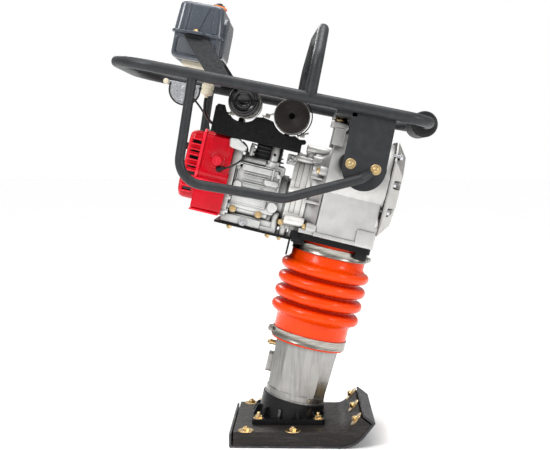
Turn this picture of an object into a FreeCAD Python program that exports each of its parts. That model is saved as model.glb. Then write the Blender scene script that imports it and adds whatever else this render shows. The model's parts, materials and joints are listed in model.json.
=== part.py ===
import FreeCAD, Part
import math
import os

# Jumping jack rammer (trench rammer), in millimetres. +X is the front (toe and roller end),
# +Z is up, and the origin is on the floor at the centre of the flat stretch of the sole.
# Three frames are used: the ground frame of the shoe, the body frame whose Z runs up the
# leaning leg, and the handle frame whose X runs down along the rails.

os.makedirs("parts", exist_ok=True)

V = FreeCAD.Vector
AXIS_X = V(1, 0, 0)
AXIS_Y = V(0, 1, 0)
AXIS_Z = V(0, 0, 1)

# ---------------------------------------------------------------- driving dimensions
BODY_LEAN = 13.5           # forward lean of the leg, degrees
BODY_ORIGIN = V(4, 0, 40)
HANDLE_SLOPE = 11.3        # slope of the rails, degrees
HANDLE_ORIGIN = V(0, 0, 782)

SHOE_HALF_WIDTH = 142.5
SHOE_THICKNESS = 31.0
SOLE_THICKNESS = 5.0
SHOE_BACK = -129.0
TOE_START = 118.0
TOE_RADIUS = 70.0
TOE_ANGLE = 52.0
TOE_LENGTH = 38.0

RUNNING_CLEARANCE = 0.05
ENGINE_AXIS = 485.0        # height of the engine crankshaft in the body frame
CRANK_AXIS = 574.0         # height of the ramming crank in the body frame
GEAR_MODULE = 2.0
GEAR_TEETH = 74
PINION_TEETH = 15
CRANK_THROW = 18.0
CONROD_LENGTH = 110.0

RAM_OUTER = 60.0           # spring cylinder that carries the foot
RAM_INNER = 54.0
RAM_BOTTOM = 50.0
RAM_TOP = 362.0
GUIDE_OUTER = 72.0
GUIDE_INNER = 64.0
GUIDE_BOTTOM = 235.0
FLANGE_BOTTOM = 417.0
FLANGE_TOP = 431.0
PLATE_TOP = 414.0          # top of the sheet under the engine

BELLOWS_NECK = 86.0
BELLOWS_VALLEY = 83.0
BELLOWS_CREST = 104.0
BELLOWS_ROLL = 12.5
BELLOWS_PITCH = 33.5
BELLOWS_FIRST = 253.0
BELLOWS_ROLLS = 4
BELLOWS_WALL = 3.0
BELLOWS_BOTTOM = 178.0
CLAMP_WIDTH = 20.0
LOWER_CLAMP = 182.0
UPPER_CLAMP = 391.0

CASE_BACK = -50.0
CASE_FRONT = 87.0
CASE_HALF_WIDTH = 92.0
CASE_TOP_RADIUS = 100.0
CASE_WALL = 9.0
SIDE_BOSS = 8.0            # how far the isolator bosses stand out of the case
HEAD_TOP = 694.0           # top of the T-shaped head
ACCESS_RADIUS = 80.0       # hole behind the front cover
CRANK_RACE = 38.0
CRANK_JOURNAL = 20.0
PINION_RACE = 22.0
PINION_SHAFT = 10.0
ENGINE_SHAFT = 12.0
ISOLATOR_PLACES = (-10.0, 45.0)
ISOLATOR_HEIGHT = 607.0

RAIL_RADIUS = 12.5
RAIL_HALF_WIDTH = 200.0
RAIL_BACK = -384.0
RAIL_FRONT = 313.0
GUARD_RADIUS = 10.5
PLATE_THICKNESS = 6.0
PLATE_INNER = 190.0        # inner face of the side plates

TANK_HALF_WIDTH = 98.0
CAP_PLACE = -198.0
TANK_BRACKET = (106.0, 111.0)           # inner and outer face of the straps at the tank
TANK_EAR = 113.0                        # reach of the tank's ears over the straps
STRAP_PLACE = (-248.0, -194.0)
AIR_CLEANER = (-266.0, 686.0, 34.0)     # u, w and radius
MUFFLER = (-156.0, 678.0, 37.5)
SWITCH = (-296.0, 545.0)                # u and w of the stop switch
LEVER_RADIUS = 40.0
RECOIL_SPINDLE = 5.0


def frame(origin, tilt):
    return FreeCAD.Placement(origin, FreeCAD.Rotation(AXIS_Y, tilt))


GROUND = FreeCAD.Placement()
BODY = frame(BODY_ORIGIN, BODY_LEAN)
HANDLE = frame(HANDLE_ORIGIN, HANDLE_SLOPE)
nodes = {}


# ---------------------------------------------------------------- shape helpers
def box(x, y, z):
    return Part.makeBox(x[1] - x[0], y[1] - y[0], z[1] - z[0], V(x[0], y[0], z[0]))


def bar(start, axis, radius, length):
    return Part.makeCylinder(radius, length, start, axis)


def ring(start, axis, outer, inner, length):
    return bar(start, axis, outer, length).cut(bar(start, axis, inner, length))


def fuse(shapes):
    return shapes[0].multiFuse(shapes[1:]).removeSplitter()


def cut(shape, tools):
    for tool in tools:
        shape = shape.cut(tool)
    return shape


def solids_of(shape):
    found = shape.Solids
    return found[0] if len(found) == 1 else Part.makeCompound(found)


def round_edges(shape, radius, direction):
    """Fillet every straight edge that runs along direction."""
    edges = [e for e in shape.Edges if isinstance(e.Curve, Part.Line)
             and abs(e.Curve.Direction.dot(direction)) > 0.999]
    return shape.makeFillet(radius, edges)


def prism(points, lift, length):
    """Extrude a closed outline of 3-D points by length along lift."""
    outline = Part.makePolygon(points + [points[0]])
    return Part.Face(outline).extrude(lift * length)


def loft(outlines):
    wires = [Part.makePolygon(points + [points[0]]) for points in outlines]
    return Part.makeLoft(wires, True, True)


def turned(start, axis, profile):
    """Stack cylinders of (radius, length) along an axis."""
    shapes = []
    for radius, length in profile:
        shapes.append(bar(start, axis, radius, length))
        start = start + axis * length
    return fuse(shapes)


def hexagon(start, axis, across, height):
    side = V(0, 0, 1) if abs(axis.z) < 0.9 else V(1, 0, 0)
    first = axis.cross(side).normalize()
    second = axis.cross(first).normalize()
    corners = []
    for step in range(6):
        angle = math.radians(60 * step)
        corners.append(start + (first * math.cos(angle) + second * math.sin(angle)) * across)
    return prism(corners, axis, height)


def bolt(face, axis, size=8.0, shank=12.0, washer=1.2):
    """A flanged hexagon bolt seated on a face, its head on the side that axis points to."""
    flange = bar(face, axis, size * washer, size * 0.2)
    head = hexagon(face + axis * (size * 0.2), axis, size * 0.85, size * 0.6)
    stem = bar(face - axis * shank, axis, size * 0.45, shank)
    return fuse([stem, flange, head])


def bend_path(points, radii):
    """Straight runs joined by tangent arcs."""
    edges = []
    last = points[0]
    for index in range(1, len(points) - 1):
        corner = points[index]
        back = (points[index - 1] - corner).normalize()
        ahead = (points[index + 1] - corner).normalize()
        turn = math.pi - back.getAngle(ahead)
        radius = radii[index - 1]
        reach = radius * math.tan(turn / 2)
        inward = (back + ahead).normalize()
        start = corner + back * reach
        end = corner + ahead * reach
        middle = corner + inward * (radius / math.cos(turn / 2) - radius)
        edges.append(Part.LineSegment(last, start).toShape())
        edges.append(Part.Arc(start, middle, end).toShape())
        last = end
    edges.append(Part.LineSegment(last, points[-1]).toShape())
    return Part.Wire(edges)


def sweep(path, radius):
    first = path.OrderedEdges[0]
    start = first.valueAt(first.FirstParameter)
    tangent = first.tangentAt(first.FirstParameter)
    profile = Part.Wire(Part.Circle(start, tangent, radius).toShape())
    return path.makePipeShell([profile], True, True)


def bent_tube(points, radii, radius):
    return sweep(bend_path(points, radii), radius)


def cord_radii(points, share=0.45):
    radii = []
    for index in range(1, len(points) - 1):
        back = points[index - 1] - points[index]
        ahead = points[index + 1] - points[index]
        turn = math.pi - back.getAngle(ahead)
        shorter = min(back.Length, ahead.Length)
        radii.append(share * shorter / math.tan(turn / 2))
    return radii


def cord(name, points, radius):
    radii = cord_radii(points)
    path = bend_path(points, radii)
    shape = sweep(path, radius)
    section = math.pi * radius ** 2
    print(name, "length", round(path.Length, 1), "radii", [round(r, 1) for r in radii],
          "volume ratio", round(shape.Volume / (section * path.Length), 4))
    nodes[name] = solids_of(shape)


def placed(placement, shape):
    shape.Placement = placement.multiply(shape.Placement)
    return shape


def add(name, placement, *shapes):
    """Store one node: its shapes stay separate solids, placed in the ground frame."""
    found = [placed(placement, solid.copy()) for shape in shapes for solid in shape.Solids]
    nodes[name] = found[0] if len(found) == 1 else Part.makeCompound(found)


def seat(fastener, *hosts):
    """Give the host nodes holes that fit a fastener node."""
    for host in hosts:
        nodes[host] = solids_of(nodes[host].cut(nodes[fastener]))


def trim(name, *hosts):
    """Cut a welded piece back to the faces it meets and keep its main solid."""
    trimmed = cut(nodes[name], [nodes[host] for host in hosts])
    nodes[name] = max(trimmed.Solids, key=lambda solid: solid.Volume)


# ---------------------------------------------------------------- foot
def toe_outline(offset, back, length):
    """Side outline points of a layer lying offset above the sole's lower face."""
    turn = math.radians(TOE_ANGLE)
    radius = TOE_RADIUS - offset
    bend_start = V(TOE_START, 0, offset)
    bend_middle = V(TOE_START + radius * math.sin(turn / 2), 0,
                    TOE_RADIUS - radius * math.cos(turn / 2))
    bend_end = V(TOE_START + radius * math.sin(turn), 0, TOE_RADIUS - radius * math.cos(turn))
    tip = bend_end + V(math.cos(turn), 0, math.sin(turn)) * length
    return V(back, 0, offset), bend_start, bend_middle, bend_end, tip


def curved_layer(lower, upper, back, length, half_width):
    low = toe_outline(lower, back, length)
    high = toe_outline(upper, back, length)
    edges = [
        Part.LineSegment(low[0], low[1]).toShape(),
        Part.Arc(low[1], low[2], low[3]).toShape(),
        Part.LineSegment(low[3], low[4]).toShape(),
        Part.LineSegment(low[4], high[4]).toShape(),
        Part.LineSegment(high[4], high[3]).toShape(),
        Part.Arc(high[3], high[2], high[1]).toShape(),
        Part.LineSegment(high[1], high[0]).toShape(),
        Part.LineSegment(high[0], low[0]).toShape(),
    ]
    face = Part.Face(Part.Wire(edges))
    face.translate(V(0, -half_width, 0))
    return face.extrude(AXIS_Y * (2 * half_width))


def make_foot():
    gap = 4.0
    lip = 32.0
    top = SOLE_THICKNESS + SHOE_THICKNESS
    width = (-SHOE_HALF_WIDTH, SHOE_HALF_WIDTH)
    turn = math.radians(TOE_ANGLE)
    plate = curved_layer(0, SOLE_THICKNESS, SHOE_BACK, TOE_LENGTH, SHOE_HALF_WIDTH)
    heel = box((SHOE_BACK, SHOE_BACK + SOLE_THICKNESS), width, (0, lip))
    tip = toe_outline(0, SHOE_BACK, TOE_LENGTH)[4]
    along = V(math.cos(turn), 0, math.sin(turn))
    upward = V(-math.sin(turn), 0, math.cos(turn))
    start = tip - along * SOLE_THICKNESS + V(0, -SHOE_HALF_WIDTH, 0)
    corners = [start, start + along * SOLE_THICKNESS,
               start + along * SOLE_THICKNESS + upward * lip, start + upward * lip]
    toe_lip = prism(corners, AXIS_Y, 2 * SHOE_HALF_WIDTH)
    sole = fuse([plate, heel, toe_lip])
    heel_edges = [e for e in sole.Edges
                  if e.Length > SHOE_HALF_WIDTH and e.BoundBox.XMax < SHOE_BACK + 1
                  and e.BoundBox.ZMax < 1]
    sole = sole.makeFillet(SOLE_THICKNESS * 0.9, heel_edges)
    add("sole_plate", GROUND, sole)

    side_gap = 1.5
    block = curved_layer(SOLE_THICKNESS, top, SHOE_BACK + SOLE_THICKNESS + gap,
                         TOE_LENGTH - SOLE_THICKNESS - gap, SHOE_HALF_WIDTH - side_gap)
    add("shoe_block", GROUND, block)

    base_centre = 2.0
    base_half = (84.0, 80.0)
    base_height = 12.0
    base_corner = 12.0
    socket_radius = 74.0
    socket_top = 46.0
    socket_depth = 106.0
    length = (base_centre - base_half[0], base_centre + base_half[0])
    breadth = (-base_half[1], base_half[1])
    base = round_edges(box(length, breadth, (top, top + base_height)), base_corner, AXIS_Z)
    socket = bar(V(0, 0, socket_top - socket_depth), AXIS_Z, socket_radius, socket_depth)
    socket.Placement = BODY
    ground_cut = box((-250, 250), (-250, 250), (-200, top))
    rib_count = 12
    rib_height = 34.0
    rib_thickness = 6.0
    rib_outline = [V(50, -rib_thickness / 2, 0), V(92, -rib_thickness / 2, 0),
                   V(76, -rib_thickness / 2, rib_height), V(50, -rib_thickness / 2, rib_height)]
    ribs = []
    for step in range(rib_count):
        rib = prism(rib_outline, AXIS_Y, rib_thickness)
        rib.rotate(V(0, 0, 0), AXIS_Z, 360 / rib_count * (step + 0.5))
        rib.translate(V(base_centre, 0, top))
        ribs.append(rib)
    mount = fuse([base, socket] + ribs).cut(ground_cut)
    add("foot_mount", GROUND, mount.common(box(length, breadth, (0, 200))))
    trim("foot_mount", "lower_leg")

    bolt_size = 9.5
    bolt_shank = 24.0
    large_washer = 1.9
    shoe_bolts = [bolt(V(x, y, top), AXIS_Z, bolt_size, bolt_shank, large_washer)
                  for x in (-92, 13) for y in (-129, 129)]
    high = toe_outline(top, SHOE_BACK, TOE_LENGTH)
    middle = (high[3] + high[4]) * 0.5 - along * 3
    for y in (-122, 0, 122):
        shoe_bolts.append(bolt(middle + V(0, y, 0), upward, bolt_size, bolt_shank, large_washer))
    add("shoe_bolts", GROUND, *shoe_bolts)
    seat("shoe_bolts", "shoe_block")
    nuts = [bolt(V(x, y, top + base_height), AXIS_Z, 10, 30, 1.3)
            for x in (-66, 70) for y in (-66, 66)]
    plug_start = -82.0
    plug_height = 159.0
    plug = placed(BODY, bar(V(plug_start, 0, plug_height), AXIS_X, 6, 14))
    add("foot_fasteners", GROUND, plug, *nuts)
    seat("foot_fasteners", "foot_mount", "shoe_block", "lower_leg")


def regular_outline(sides, inradius, height):
    corner = inradius / math.cos(math.pi / sides)
    return [V(corner * math.cos(math.tau * (k + 0.5) / sides),
              corner * math.sin(math.tau * (k + 0.5) / sides), height) for k in range(sides)]


def make_leg():
    facet_low = 62.0
    facet_high = 182.0
    head_low = 176.0
    head_height = 26.0
    head_radius = 79.6
    facets = loft([regular_outline(10, 67, facet_low), regular_outline(10, 73, facet_high)])
    collar = turned(V(0, 0, 42.3), AXIS_Z, [(71.5, 7), (69.5, 13)])
    head = bar(V(0, 0, head_low), AXIS_Z, head_radius, head_height)
    boss = round_edges(box((-82, -60), (-14, 14), (92, 137)), 5, AXIS_X)
    casting = fuse([facets, collar, head, boss])
    casting = casting.cut(bar(V(0, 0, 40), AXIS_Z, RAM_OUTER, 170))
    add("lower_leg", BODY, casting)

    end_thickness = 14.0
    rod_radius = 11.0
    barrel = ring(V(0, 0, RAM_BOTTOM), AXIS_Z, RAM_OUTER, RAM_INNER, RAM_TOP - RAM_BOTTOM)
    floor = bar(V(0, 0, RAM_BOTTOM), AXIS_Z, RAM_OUTER, end_thickness)
    cap = ring(V(0, 0, RAM_TOP - end_thickness), AXIS_Z, RAM_OUTER,
               rod_radius + RUNNING_CLEARANCE, end_thickness)
    add("ram_cylinder", BODY, fuse([barrel, floor, cap]))
    add("lower_clamp", BODY, clamp(V(0, 0, LOWER_CLAMP), BELLOWS_NECK, CLAMP_WIDTH, 180))


def clamp(start, radius, width, screw_angle):
    """A flat strap with its worm-screw housing."""
    strap = ring(start, AXIS_Z, radius + 1.6, radius, width)
    housing = round_edges(box((radius + 1, radius + 11), (-12, 12), (2, width - 2)), 2, AXIS_Y)
    screw = bar(V(radius + 7, -22, width / 2), AXIS_Y, 4, 44)
    lug = fuse([housing, screw])
    lug.rotate(V(0, 0, 0), AXIS_Z, screw_angle)
    lug.translate(start)
    return fuse([strap, lug])


def make_bellows():
    def profile(shift):
        """Outline from bottom to top, moved inward by shift."""
        edges = []
        point = V(BELLOWS_NECK - shift, 0, BELLOWS_BOTTOM)
        for roll in range(BELLOWS_ROLLS):
            centre = BELLOWS_FIRST + roll * BELLOWS_PITCH
            valley = BELLOWS_VALLEY - shift if roll else BELLOWS_NECK - shift
            radius = BELLOWS_ROLL - shift
            low = V(valley, 0, centre - radius)
            arc_low = V(BELLOWS_CREST - BELLOWS_ROLL, 0, centre - radius)
            crest = V(BELLOWS_CREST - shift, 0, centre)
            arc_high = V(BELLOWS_CREST - BELLOWS_ROLL, 0, centre + radius)
            last = roll == BELLOWS_ROLLS - 1
            outlet = (BELLOWS_NECK if last else BELLOWS_VALLEY) - shift
            high = V(outlet, 0, centre + radius)
            edges.append(Part.LineSegment(point, low).toShape())
            edges.append(Part.LineSegment(low, arc_low).toShape())
            edges.append(Part.Arc(arc_low, crest, arc_high).toShape())
            edges.append(Part.LineSegment(arc_high, high).toShape())
            point = high
        top = V(BELLOWS_NECK - shift, 0, FLANGE_BOTTOM)
        edges.append(Part.LineSegment(point, top).toShape())
        return edges

    outer = profile(0)
    inner = profile(BELLOWS_WALL)
    closers = []
    for end in (0, -1):
        vertices = [edges[end].Vertexes[end].Point for edges in (outer, inner)]
        closers.append(Part.LineSegment(vertices[0], vertices[1]).toShape())
    wire = Part.Wire(Part.__sortEdges__(outer + inner + closers))
    skin = Part.Face(wire).revolve(V(0, 0, 0), AXIS_Z, 360)
    add("bellows", BODY, skin)
    add("upper_clamp", BODY, clamp(V(0, 0, UPPER_CLAMP), BELLOWS_NECK, CLAMP_WIDTH, -20))


# ---------------------------------------------------------------- crankcase
def make_crankcase():
    depth = CASE_FRONT - CASE_BACK
    width = (-CASE_HALF_WIDTH, CASE_HALF_WIDTH)
    boss_back = -84.0
    boss_length = CASE_BACK + CASE_WALL - boss_back
    head_low = 680.0
    start = V(CASE_BACK, 0, CRANK_AXIS)
    lower = round_edges(box((CASE_BACK, CASE_FRONT), width, (FLANGE_TOP, CRANK_AXIS)), 8, AXIS_Z)
    drum = bar(start, AXIS_X, CASE_TOP_RADIUS, depth)
    bearing_boss = bar(V(boss_back, 0, CRANK_AXIS), AXIS_X, 54, boss_length)
    pinion_boss = bar(V(boss_back, 0, ENGINE_AXIS), AXIS_X, 27, boss_length)
    neck = box((-59, -30), (-20, 20), (CRANK_AXIS + 60, head_low + 4))
    neck_head = round_edges(box((-67, -26), (-27, 27), (head_low, HEAD_TOP)), 6, AXIS_Z)
    boss_reach = CASE_TOP_RADIUS + SIDE_BOSS
    side_bosses = []
    for u in ISOLATOR_PLACES:
        side_bosses.append(bar(V(u, -boss_reach, ISOLATOR_HEIGHT), AXIS_Y, 20, 2 * boss_reach))
    corner = box((45, CASE_FRONT), width, (FLANGE_TOP, FLANGE_TOP + 50))
    outer = fuse([lower, drum, bearing_boss, pinion_boss, neck, neck_head, corner]
                 + side_bosses)
    hollow_start = CASE_BACK + CASE_WALL
    guide_seat = 10.0
    inner_box = box((hollow_start, CASE_FRONT - CASE_WALL),
                    (-CASE_HALF_WIDTH + CASE_WALL, CASE_HALF_WIDTH - CASE_WALL),
                    (FLANGE_TOP + guide_seat, CRANK_AXIS))
    inner_drum = bar(V(hollow_start, 0, CRANK_AXIS), AXIS_X, CASE_TOP_RADIUS - CASE_WALL,
                     depth - 2 * CASE_WALL)
    access = bar(V(hollow_start, 0, CRANK_AXIS), AXIS_X, ACCESS_RADIUS, depth)
    bearing_seat = bar(V(-80, 0, CRANK_AXIS), AXIS_X, CRANK_RACE, 60)
    pinion_seat = bar(V(boss_back - 1, 0, ENGINE_AXIS), AXIS_X, PINION_RACE, 60)
    guide_bore = bar(V(0, 0, FLANGE_TOP - 1), AXIS_Z, GUIDE_OUTER, 30)
    shell = cut(outer, [inner_box, inner_drum, access, bearing_seat, pinion_seat, guide_bore])
    add("crankcase", BODY, shell)

    pinion_race = ring(V(-56, 0, ENGINE_AXIS), AXIS_X, PINION_RACE,
                       PINION_SHAFT + RUNNING_CLEARANCE, 15)
    crank_race = ring(V(-72, 0, CRANK_AXIS), AXIS_X, CRANK_RACE,
                      CRANK_JOURNAL + RUNNING_CLEARANCE, 22)
    add("shaft_bearings", BODY, pinion_race, crank_race)

    spigot_low = FLANGE_BOTTOM - 28
    spigot_length = 30.0
    spigot_radius = BELLOWS_NECK - BELLOWS_WALL - 0.3
    strap_room = BELLOWS_NECK + 2.2
    bottom = round_edges(box((-83.8, 85), (-90, 90), (FLANGE_BOTTOM, FLANGE_TOP)), 8, AXIS_Z)
    lug_low = FLANGE_BOTTOM - 10
    lug = box((-95, -70), (-84, -58), (lug_low, FLANGE_TOP))
    spigot = bar(V(0, 0, spigot_low), AXIS_Z, spigot_radius, spigot_length)
    bore = bar(V(0, 0, spigot_low), AXIS_Z, GUIDE_OUTER, FLANGE_TOP - spigot_low)
    flange = fuse([bottom, lug, spigot]).cut(bore)
    flange = flange.cut(ring(V(0, 0, lug_low), AXIS_Z, 120, strap_room, FLANGE_BOTTOM - lug_low))
    add("bottom_flange", BODY, flange)

    guide = ring(V(0, 0, GUIDE_BOTTOM), AXIS_Z, GUIDE_OUTER, GUIDE_INNER,
                 FLANGE_TOP + guide_seat - GUIDE_BOTTOM)
    add("guide_cylinder", BODY, guide)
    bush_length = 45.0
    bushes = [ring(V(0, 0, w), AXIS_Z, GUIDE_INNER, RAM_OUTER + RUNNING_CLEARANCE, bush_length)
              for w in (GUIDE_BOTTOM, 300)]
    add("guide_bushes", BODY, *bushes)


def cover_outline(u, shrink):
    """Octagon of the front cover at one depth."""
    half = 98 - shrink * 0.5
    low = 461 + shrink
    high = 680 - shrink
    corner = 44
    return [V(u, -half, low + corner), V(u, -half + corner, low), V(u, half - corner, low),
            V(u, half, low + corner), V(u, half, high - corner), V(u, half - corner, high),
            V(u, -half + corner, high), V(u, -half, high - corner)]


def make_front_cover():
    gasket_thickness = 2.0
    face = CASE_FRONT + gasket_thickness
    rim = 4.0
    depth = 27.0
    bolt_depth = face + 10.0
    bolt_side = 86.0
    scallop_side = 88.0
    scallop_radius = 10.0
    gasket = prism(cover_outline(CASE_FRONT, 2), AXIS_X, gasket_thickness)
    hole = bar(V(CASE_FRONT - 1, 0, CRANK_AXIS), AXIS_X, ACCESS_RADIUS, 5)
    add("cover_gasket", BODY, gasket.cut(hole))
    foot = prism(cover_outline(face, 0), AXIS_X, rim)
    body = loft([cover_outline(face + rim, 0), cover_outline(face + depth, 30)])
    recess = bar(V(face - 1, 0, CRANK_AXIS), AXIS_X, ACCESS_RADIUS - 4, 13)
    cover = fuse([foot, body]).cut(recess)
    heads = []
    for w in (521, 584.5, 648):
        for side in (-1, 1):
            scallop = bar(V(bolt_depth, side * scallop_side, w), AXIS_X, scallop_radius, 30)
            cover = cover.cut(scallop)
            heads.append(bolt(V(bolt_depth, side * bolt_side, w), AXIS_X, 8, 14, 1.05))
    add("front_cover", BODY, cover)
    add("cover_bolts", BODY, *heads)
    seat("cover_bolts", "front_cover", "cover_gasket", "crankcase")


def make_clutch_housing():
    back = -123.0
    length = 39.0
    end_wall = 6.0
    low_radius = 66.0
    high_radius = 46.0
    high_axis = 556.0
    lower = bar(V(back, 0, ENGINE_AXIS), AXIS_X, low_radius, length)
    upper = bar(V(back, 0, high_axis), AXIS_X, high_radius, length)
    web = prism([V(back, -low_radius, ENGINE_AXIS), V(back, low_radius, ENGINE_AXIS),
                 V(back, high_radius, high_axis), V(back, -high_radius, high_axis)],
                AXIS_X, length)
    feet = box((back, back + length), (-low_radius, low_radius), (FLANGE_TOP, ENGINE_AXIS))
    lug = box((-106, back + length), (-30, 30), (590, 628))
    cavity = bar(V(back - 1, 0, ENGINE_AXIS), AXIS_X, 53, length + 1 - end_wall)
    shaft = bar(V(back, 0, ENGINE_AXIS), AXIS_X, PINION_SHAFT + 3, 80)
    add("clutch_housing", BODY, fuse([lower, upper, web, feet, lug]).cut(cavity).cut(shaft))


# ---------------------------------------------------------------- crank train
def gear_outline(teeth, tip, root, turn, u):
    """Involute outline of a spur gear in the plane across the engine axis."""
    pressure = math.radians(20)
    pitch = GEAR_MODULE * teeth / 2
    base = pitch * math.cos(pressure)
    backlash = 0.3
    half = math.pi / (2 * teeth) - backlash / (2 * pitch)
    involute_pitch = math.tan(pressure) - pressure
    steps = 4
    start = max(base, root)
    flank = []
    for step in range(steps + 1):
        radius = start + (tip - start) * step / steps
        angle = math.acos(base / radius)
        flank.append((radius, half + involute_pitch - (math.tan(angle) - angle)))
    side = ([(root, flank[0][1])] if root < base else []) + flank
    points = []
    for tooth in range(teeth):
        centre = turn + math.tau * tooth / teeth
        for radius, spread in side:
            points.append(V(u, radius * math.cos(centre - spread),
                            radius * math.sin(centre - spread)))
        for radius, spread in reversed(side):
            points.append(V(u, radius * math.cos(centre + spread),
                            radius * math.sin(centre + spread)))
    return points


def make_crank_train():
    face_back = -36.0
    face_width = 14.0
    face_front = face_back + face_width
    pin_height = CRANK_AXIS - CRANK_THROW
    rim = prism(gear_outline(GEAR_TEETH, 75.5, 71.3, -math.pi / 2, face_back), AXIS_X,
                face_width)
    rim.translate(V(0, 0, CRANK_AXIS))
    journal = bar(V(-74, 0, CRANK_AXIS), AXIS_X, CRANK_JOURNAL, 74 + face_back)
    windows = []
    for angle in (0, 180):
        window = bar(V(face_back - 1, 48, 0), AXIS_X, 15, 30)
        window.rotate(V(0, 0, 0), AXIS_X, angle)
        window.translate(V(0, 0, CRANK_AXIS))
        windows.append(window)
    pin = bar(V(face_front, 0, pin_height), AXIS_X, 12, 14 - face_front)
    add("crank_gear", BODY, fuse([cut(fuse([rim, journal]), windows), pin]))

    small_height = pin_height - CONROD_LENGTH
    start = V(-10, 0, pin_height)
    big_end = bar(start, AXIS_X, 23, 20)
    small_end = bar(V(-10, 0, small_height), AXIS_X, 14, 20)
    shank = box((-6, 6), (-8, 8), (small_height + 8, pin_height - 15))
    eye = bar(V(-11, 0, pin_height), AXIS_X, 12 + RUNNING_CLEARANCE, 22)
    small_eye = bar(V(-11, 0, small_height), AXIS_X, 6, 22)
    add("connecting_rod", BODY, cut(fuse([big_end, small_end, shank]), [eye, small_eye]))

    cup_top = 448.0
    cup_floor = 411.0
    cup_base = 6.0
    cup = ring(V(0, 0, cup_floor), AXIS_Z, 41, 37, cup_top - cup_floor)
    floor = bar(V(0, 0, cup_floor - cup_base), AXIS_Z, 41, cup_base)
    stem = turned(V(0, 0, 222), AXIS_Z, [(8, 18), (11, cup_floor - cup_base - 240)])
    add("piston_rod", BODY, fuse([cup, floor, stem]))
    disc = ring(V(0, 0, 222), AXIS_Z, RAM_INNER - RUNNING_CLEARANCE, 8, 18)
    add("spring_piston", BODY, disc)
    springs = [coil(radius, wire, pitch, low, high) for low, high in ((65, 220.5), (241.5, 346.5))
               for radius, wire, pitch in ((40, 5, 17), (25, 3.5, 12))]
    add("ramming_springs", BODY, *springs)

    pinion = prism(gear_outline(PINION_TEETH, 16.8, 12.4, math.pi / 2 + math.pi / PINION_TEETH,
                                face_back), AXIS_X, face_width)
    pinion.translate(V(0, 0, ENGINE_AXIS))
    bell_back = -119.0
    web_back = -96.0
    web_thickness = 4.0
    bell_radius = 49.0
    shaft_back = web_back + web_thickness
    shaft = bar(V(shaft_back, 0, ENGINE_AXIS), AXIS_X, PINION_SHAFT, face_back - shaft_back)
    web = bar(V(web_back, 0, ENGINE_AXIS), AXIS_X, bell_radius, web_thickness)
    bell = ring(V(bell_back, 0, ENGINE_AXIS), AXIS_X, bell_radius, bell_radius - web_thickness,
                web_back - bell_back)
    add("clutch_drum", BODY, fuse([web, bell, shaft, pinion]))


def coil(radius, wire, pitch, low, high):
    """A helical compression spring between two heights."""
    helix = Part.makeHelix(pitch, high - low - 2 * wire, radius)
    profile = Part.Wire(Part.Circle(V(radius, 0, 0), AXIS_Y, wire).toShape())
    spring = Part.Wire(helix).makePipeShell([profile], True, True)
    spring.translate(V(0, 0, low + wire))
    return spring


def make_engine_train():
    shaft = bar(V(-345, 0, ENGINE_AXIS), AXIS_X, ENGINE_SHAFT, 239)
    hub_back = -117.0
    hub = bar(V(hub_back, 0, ENGINE_AXIS), AXIS_X, 20, 11)
    web = box((-222, -212), (-16, 16), (ENGINE_AXIS - 30, ENGINE_AXIS + 30))
    add("engine_crankshaft", BODY, fuse([shaft, hub, web]))
    shoes = []
    for side in (-1, 1):
        arc = ring(V(hub_back, 0, 0), AXIS_X, 44, 21, 18)
        half = arc.common(box((-130, -90), sorted((side * 2, side * 60)), (-60, 60)))
        half.translate(V(0, 0, ENGINE_AXIS))
        shoes.append(half)
    add("clutch_shoes", BODY, *shoes)
    wheel = [ring(V(-325, 0, ENGINE_AXIS), AXIS_X, 48, ENGINE_SHAFT, 14)]
    for angle in range(0, 360, 30):
        blade = box((-312, -300), (24, 47), (-1.5, 1.5))
        blade.rotate(V(0, 0, 0), AXIS_X, angle)
        blade.translate(V(0, 0, ENGINE_AXIS))
        wheel.append(blade)
    add("flywheel_fan", BODY, fuse(wheel))
    pulley_back = -366.0
    pulley_width = 14.0
    pulley_radius = 31.0
    groove_width = 5.0
    groove_depth = 6.0
    pulley = ring(V(pulley_back, 0, ENGINE_AXIS), AXIS_X, pulley_radius,
                  RECOIL_SPINDLE + RUNNING_CLEARANCE, pulley_width)
    groove_back = pulley_back + (pulley_width - groove_width) / 2
    groove = ring(V(groove_back, 0, ENGINE_AXIS), AXIS_X, pulley_radius + 5,
                  pulley_radius - groove_depth, groove_width)
    add("recoil_pulley", BODY, pulley.cut(groove))


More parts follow.
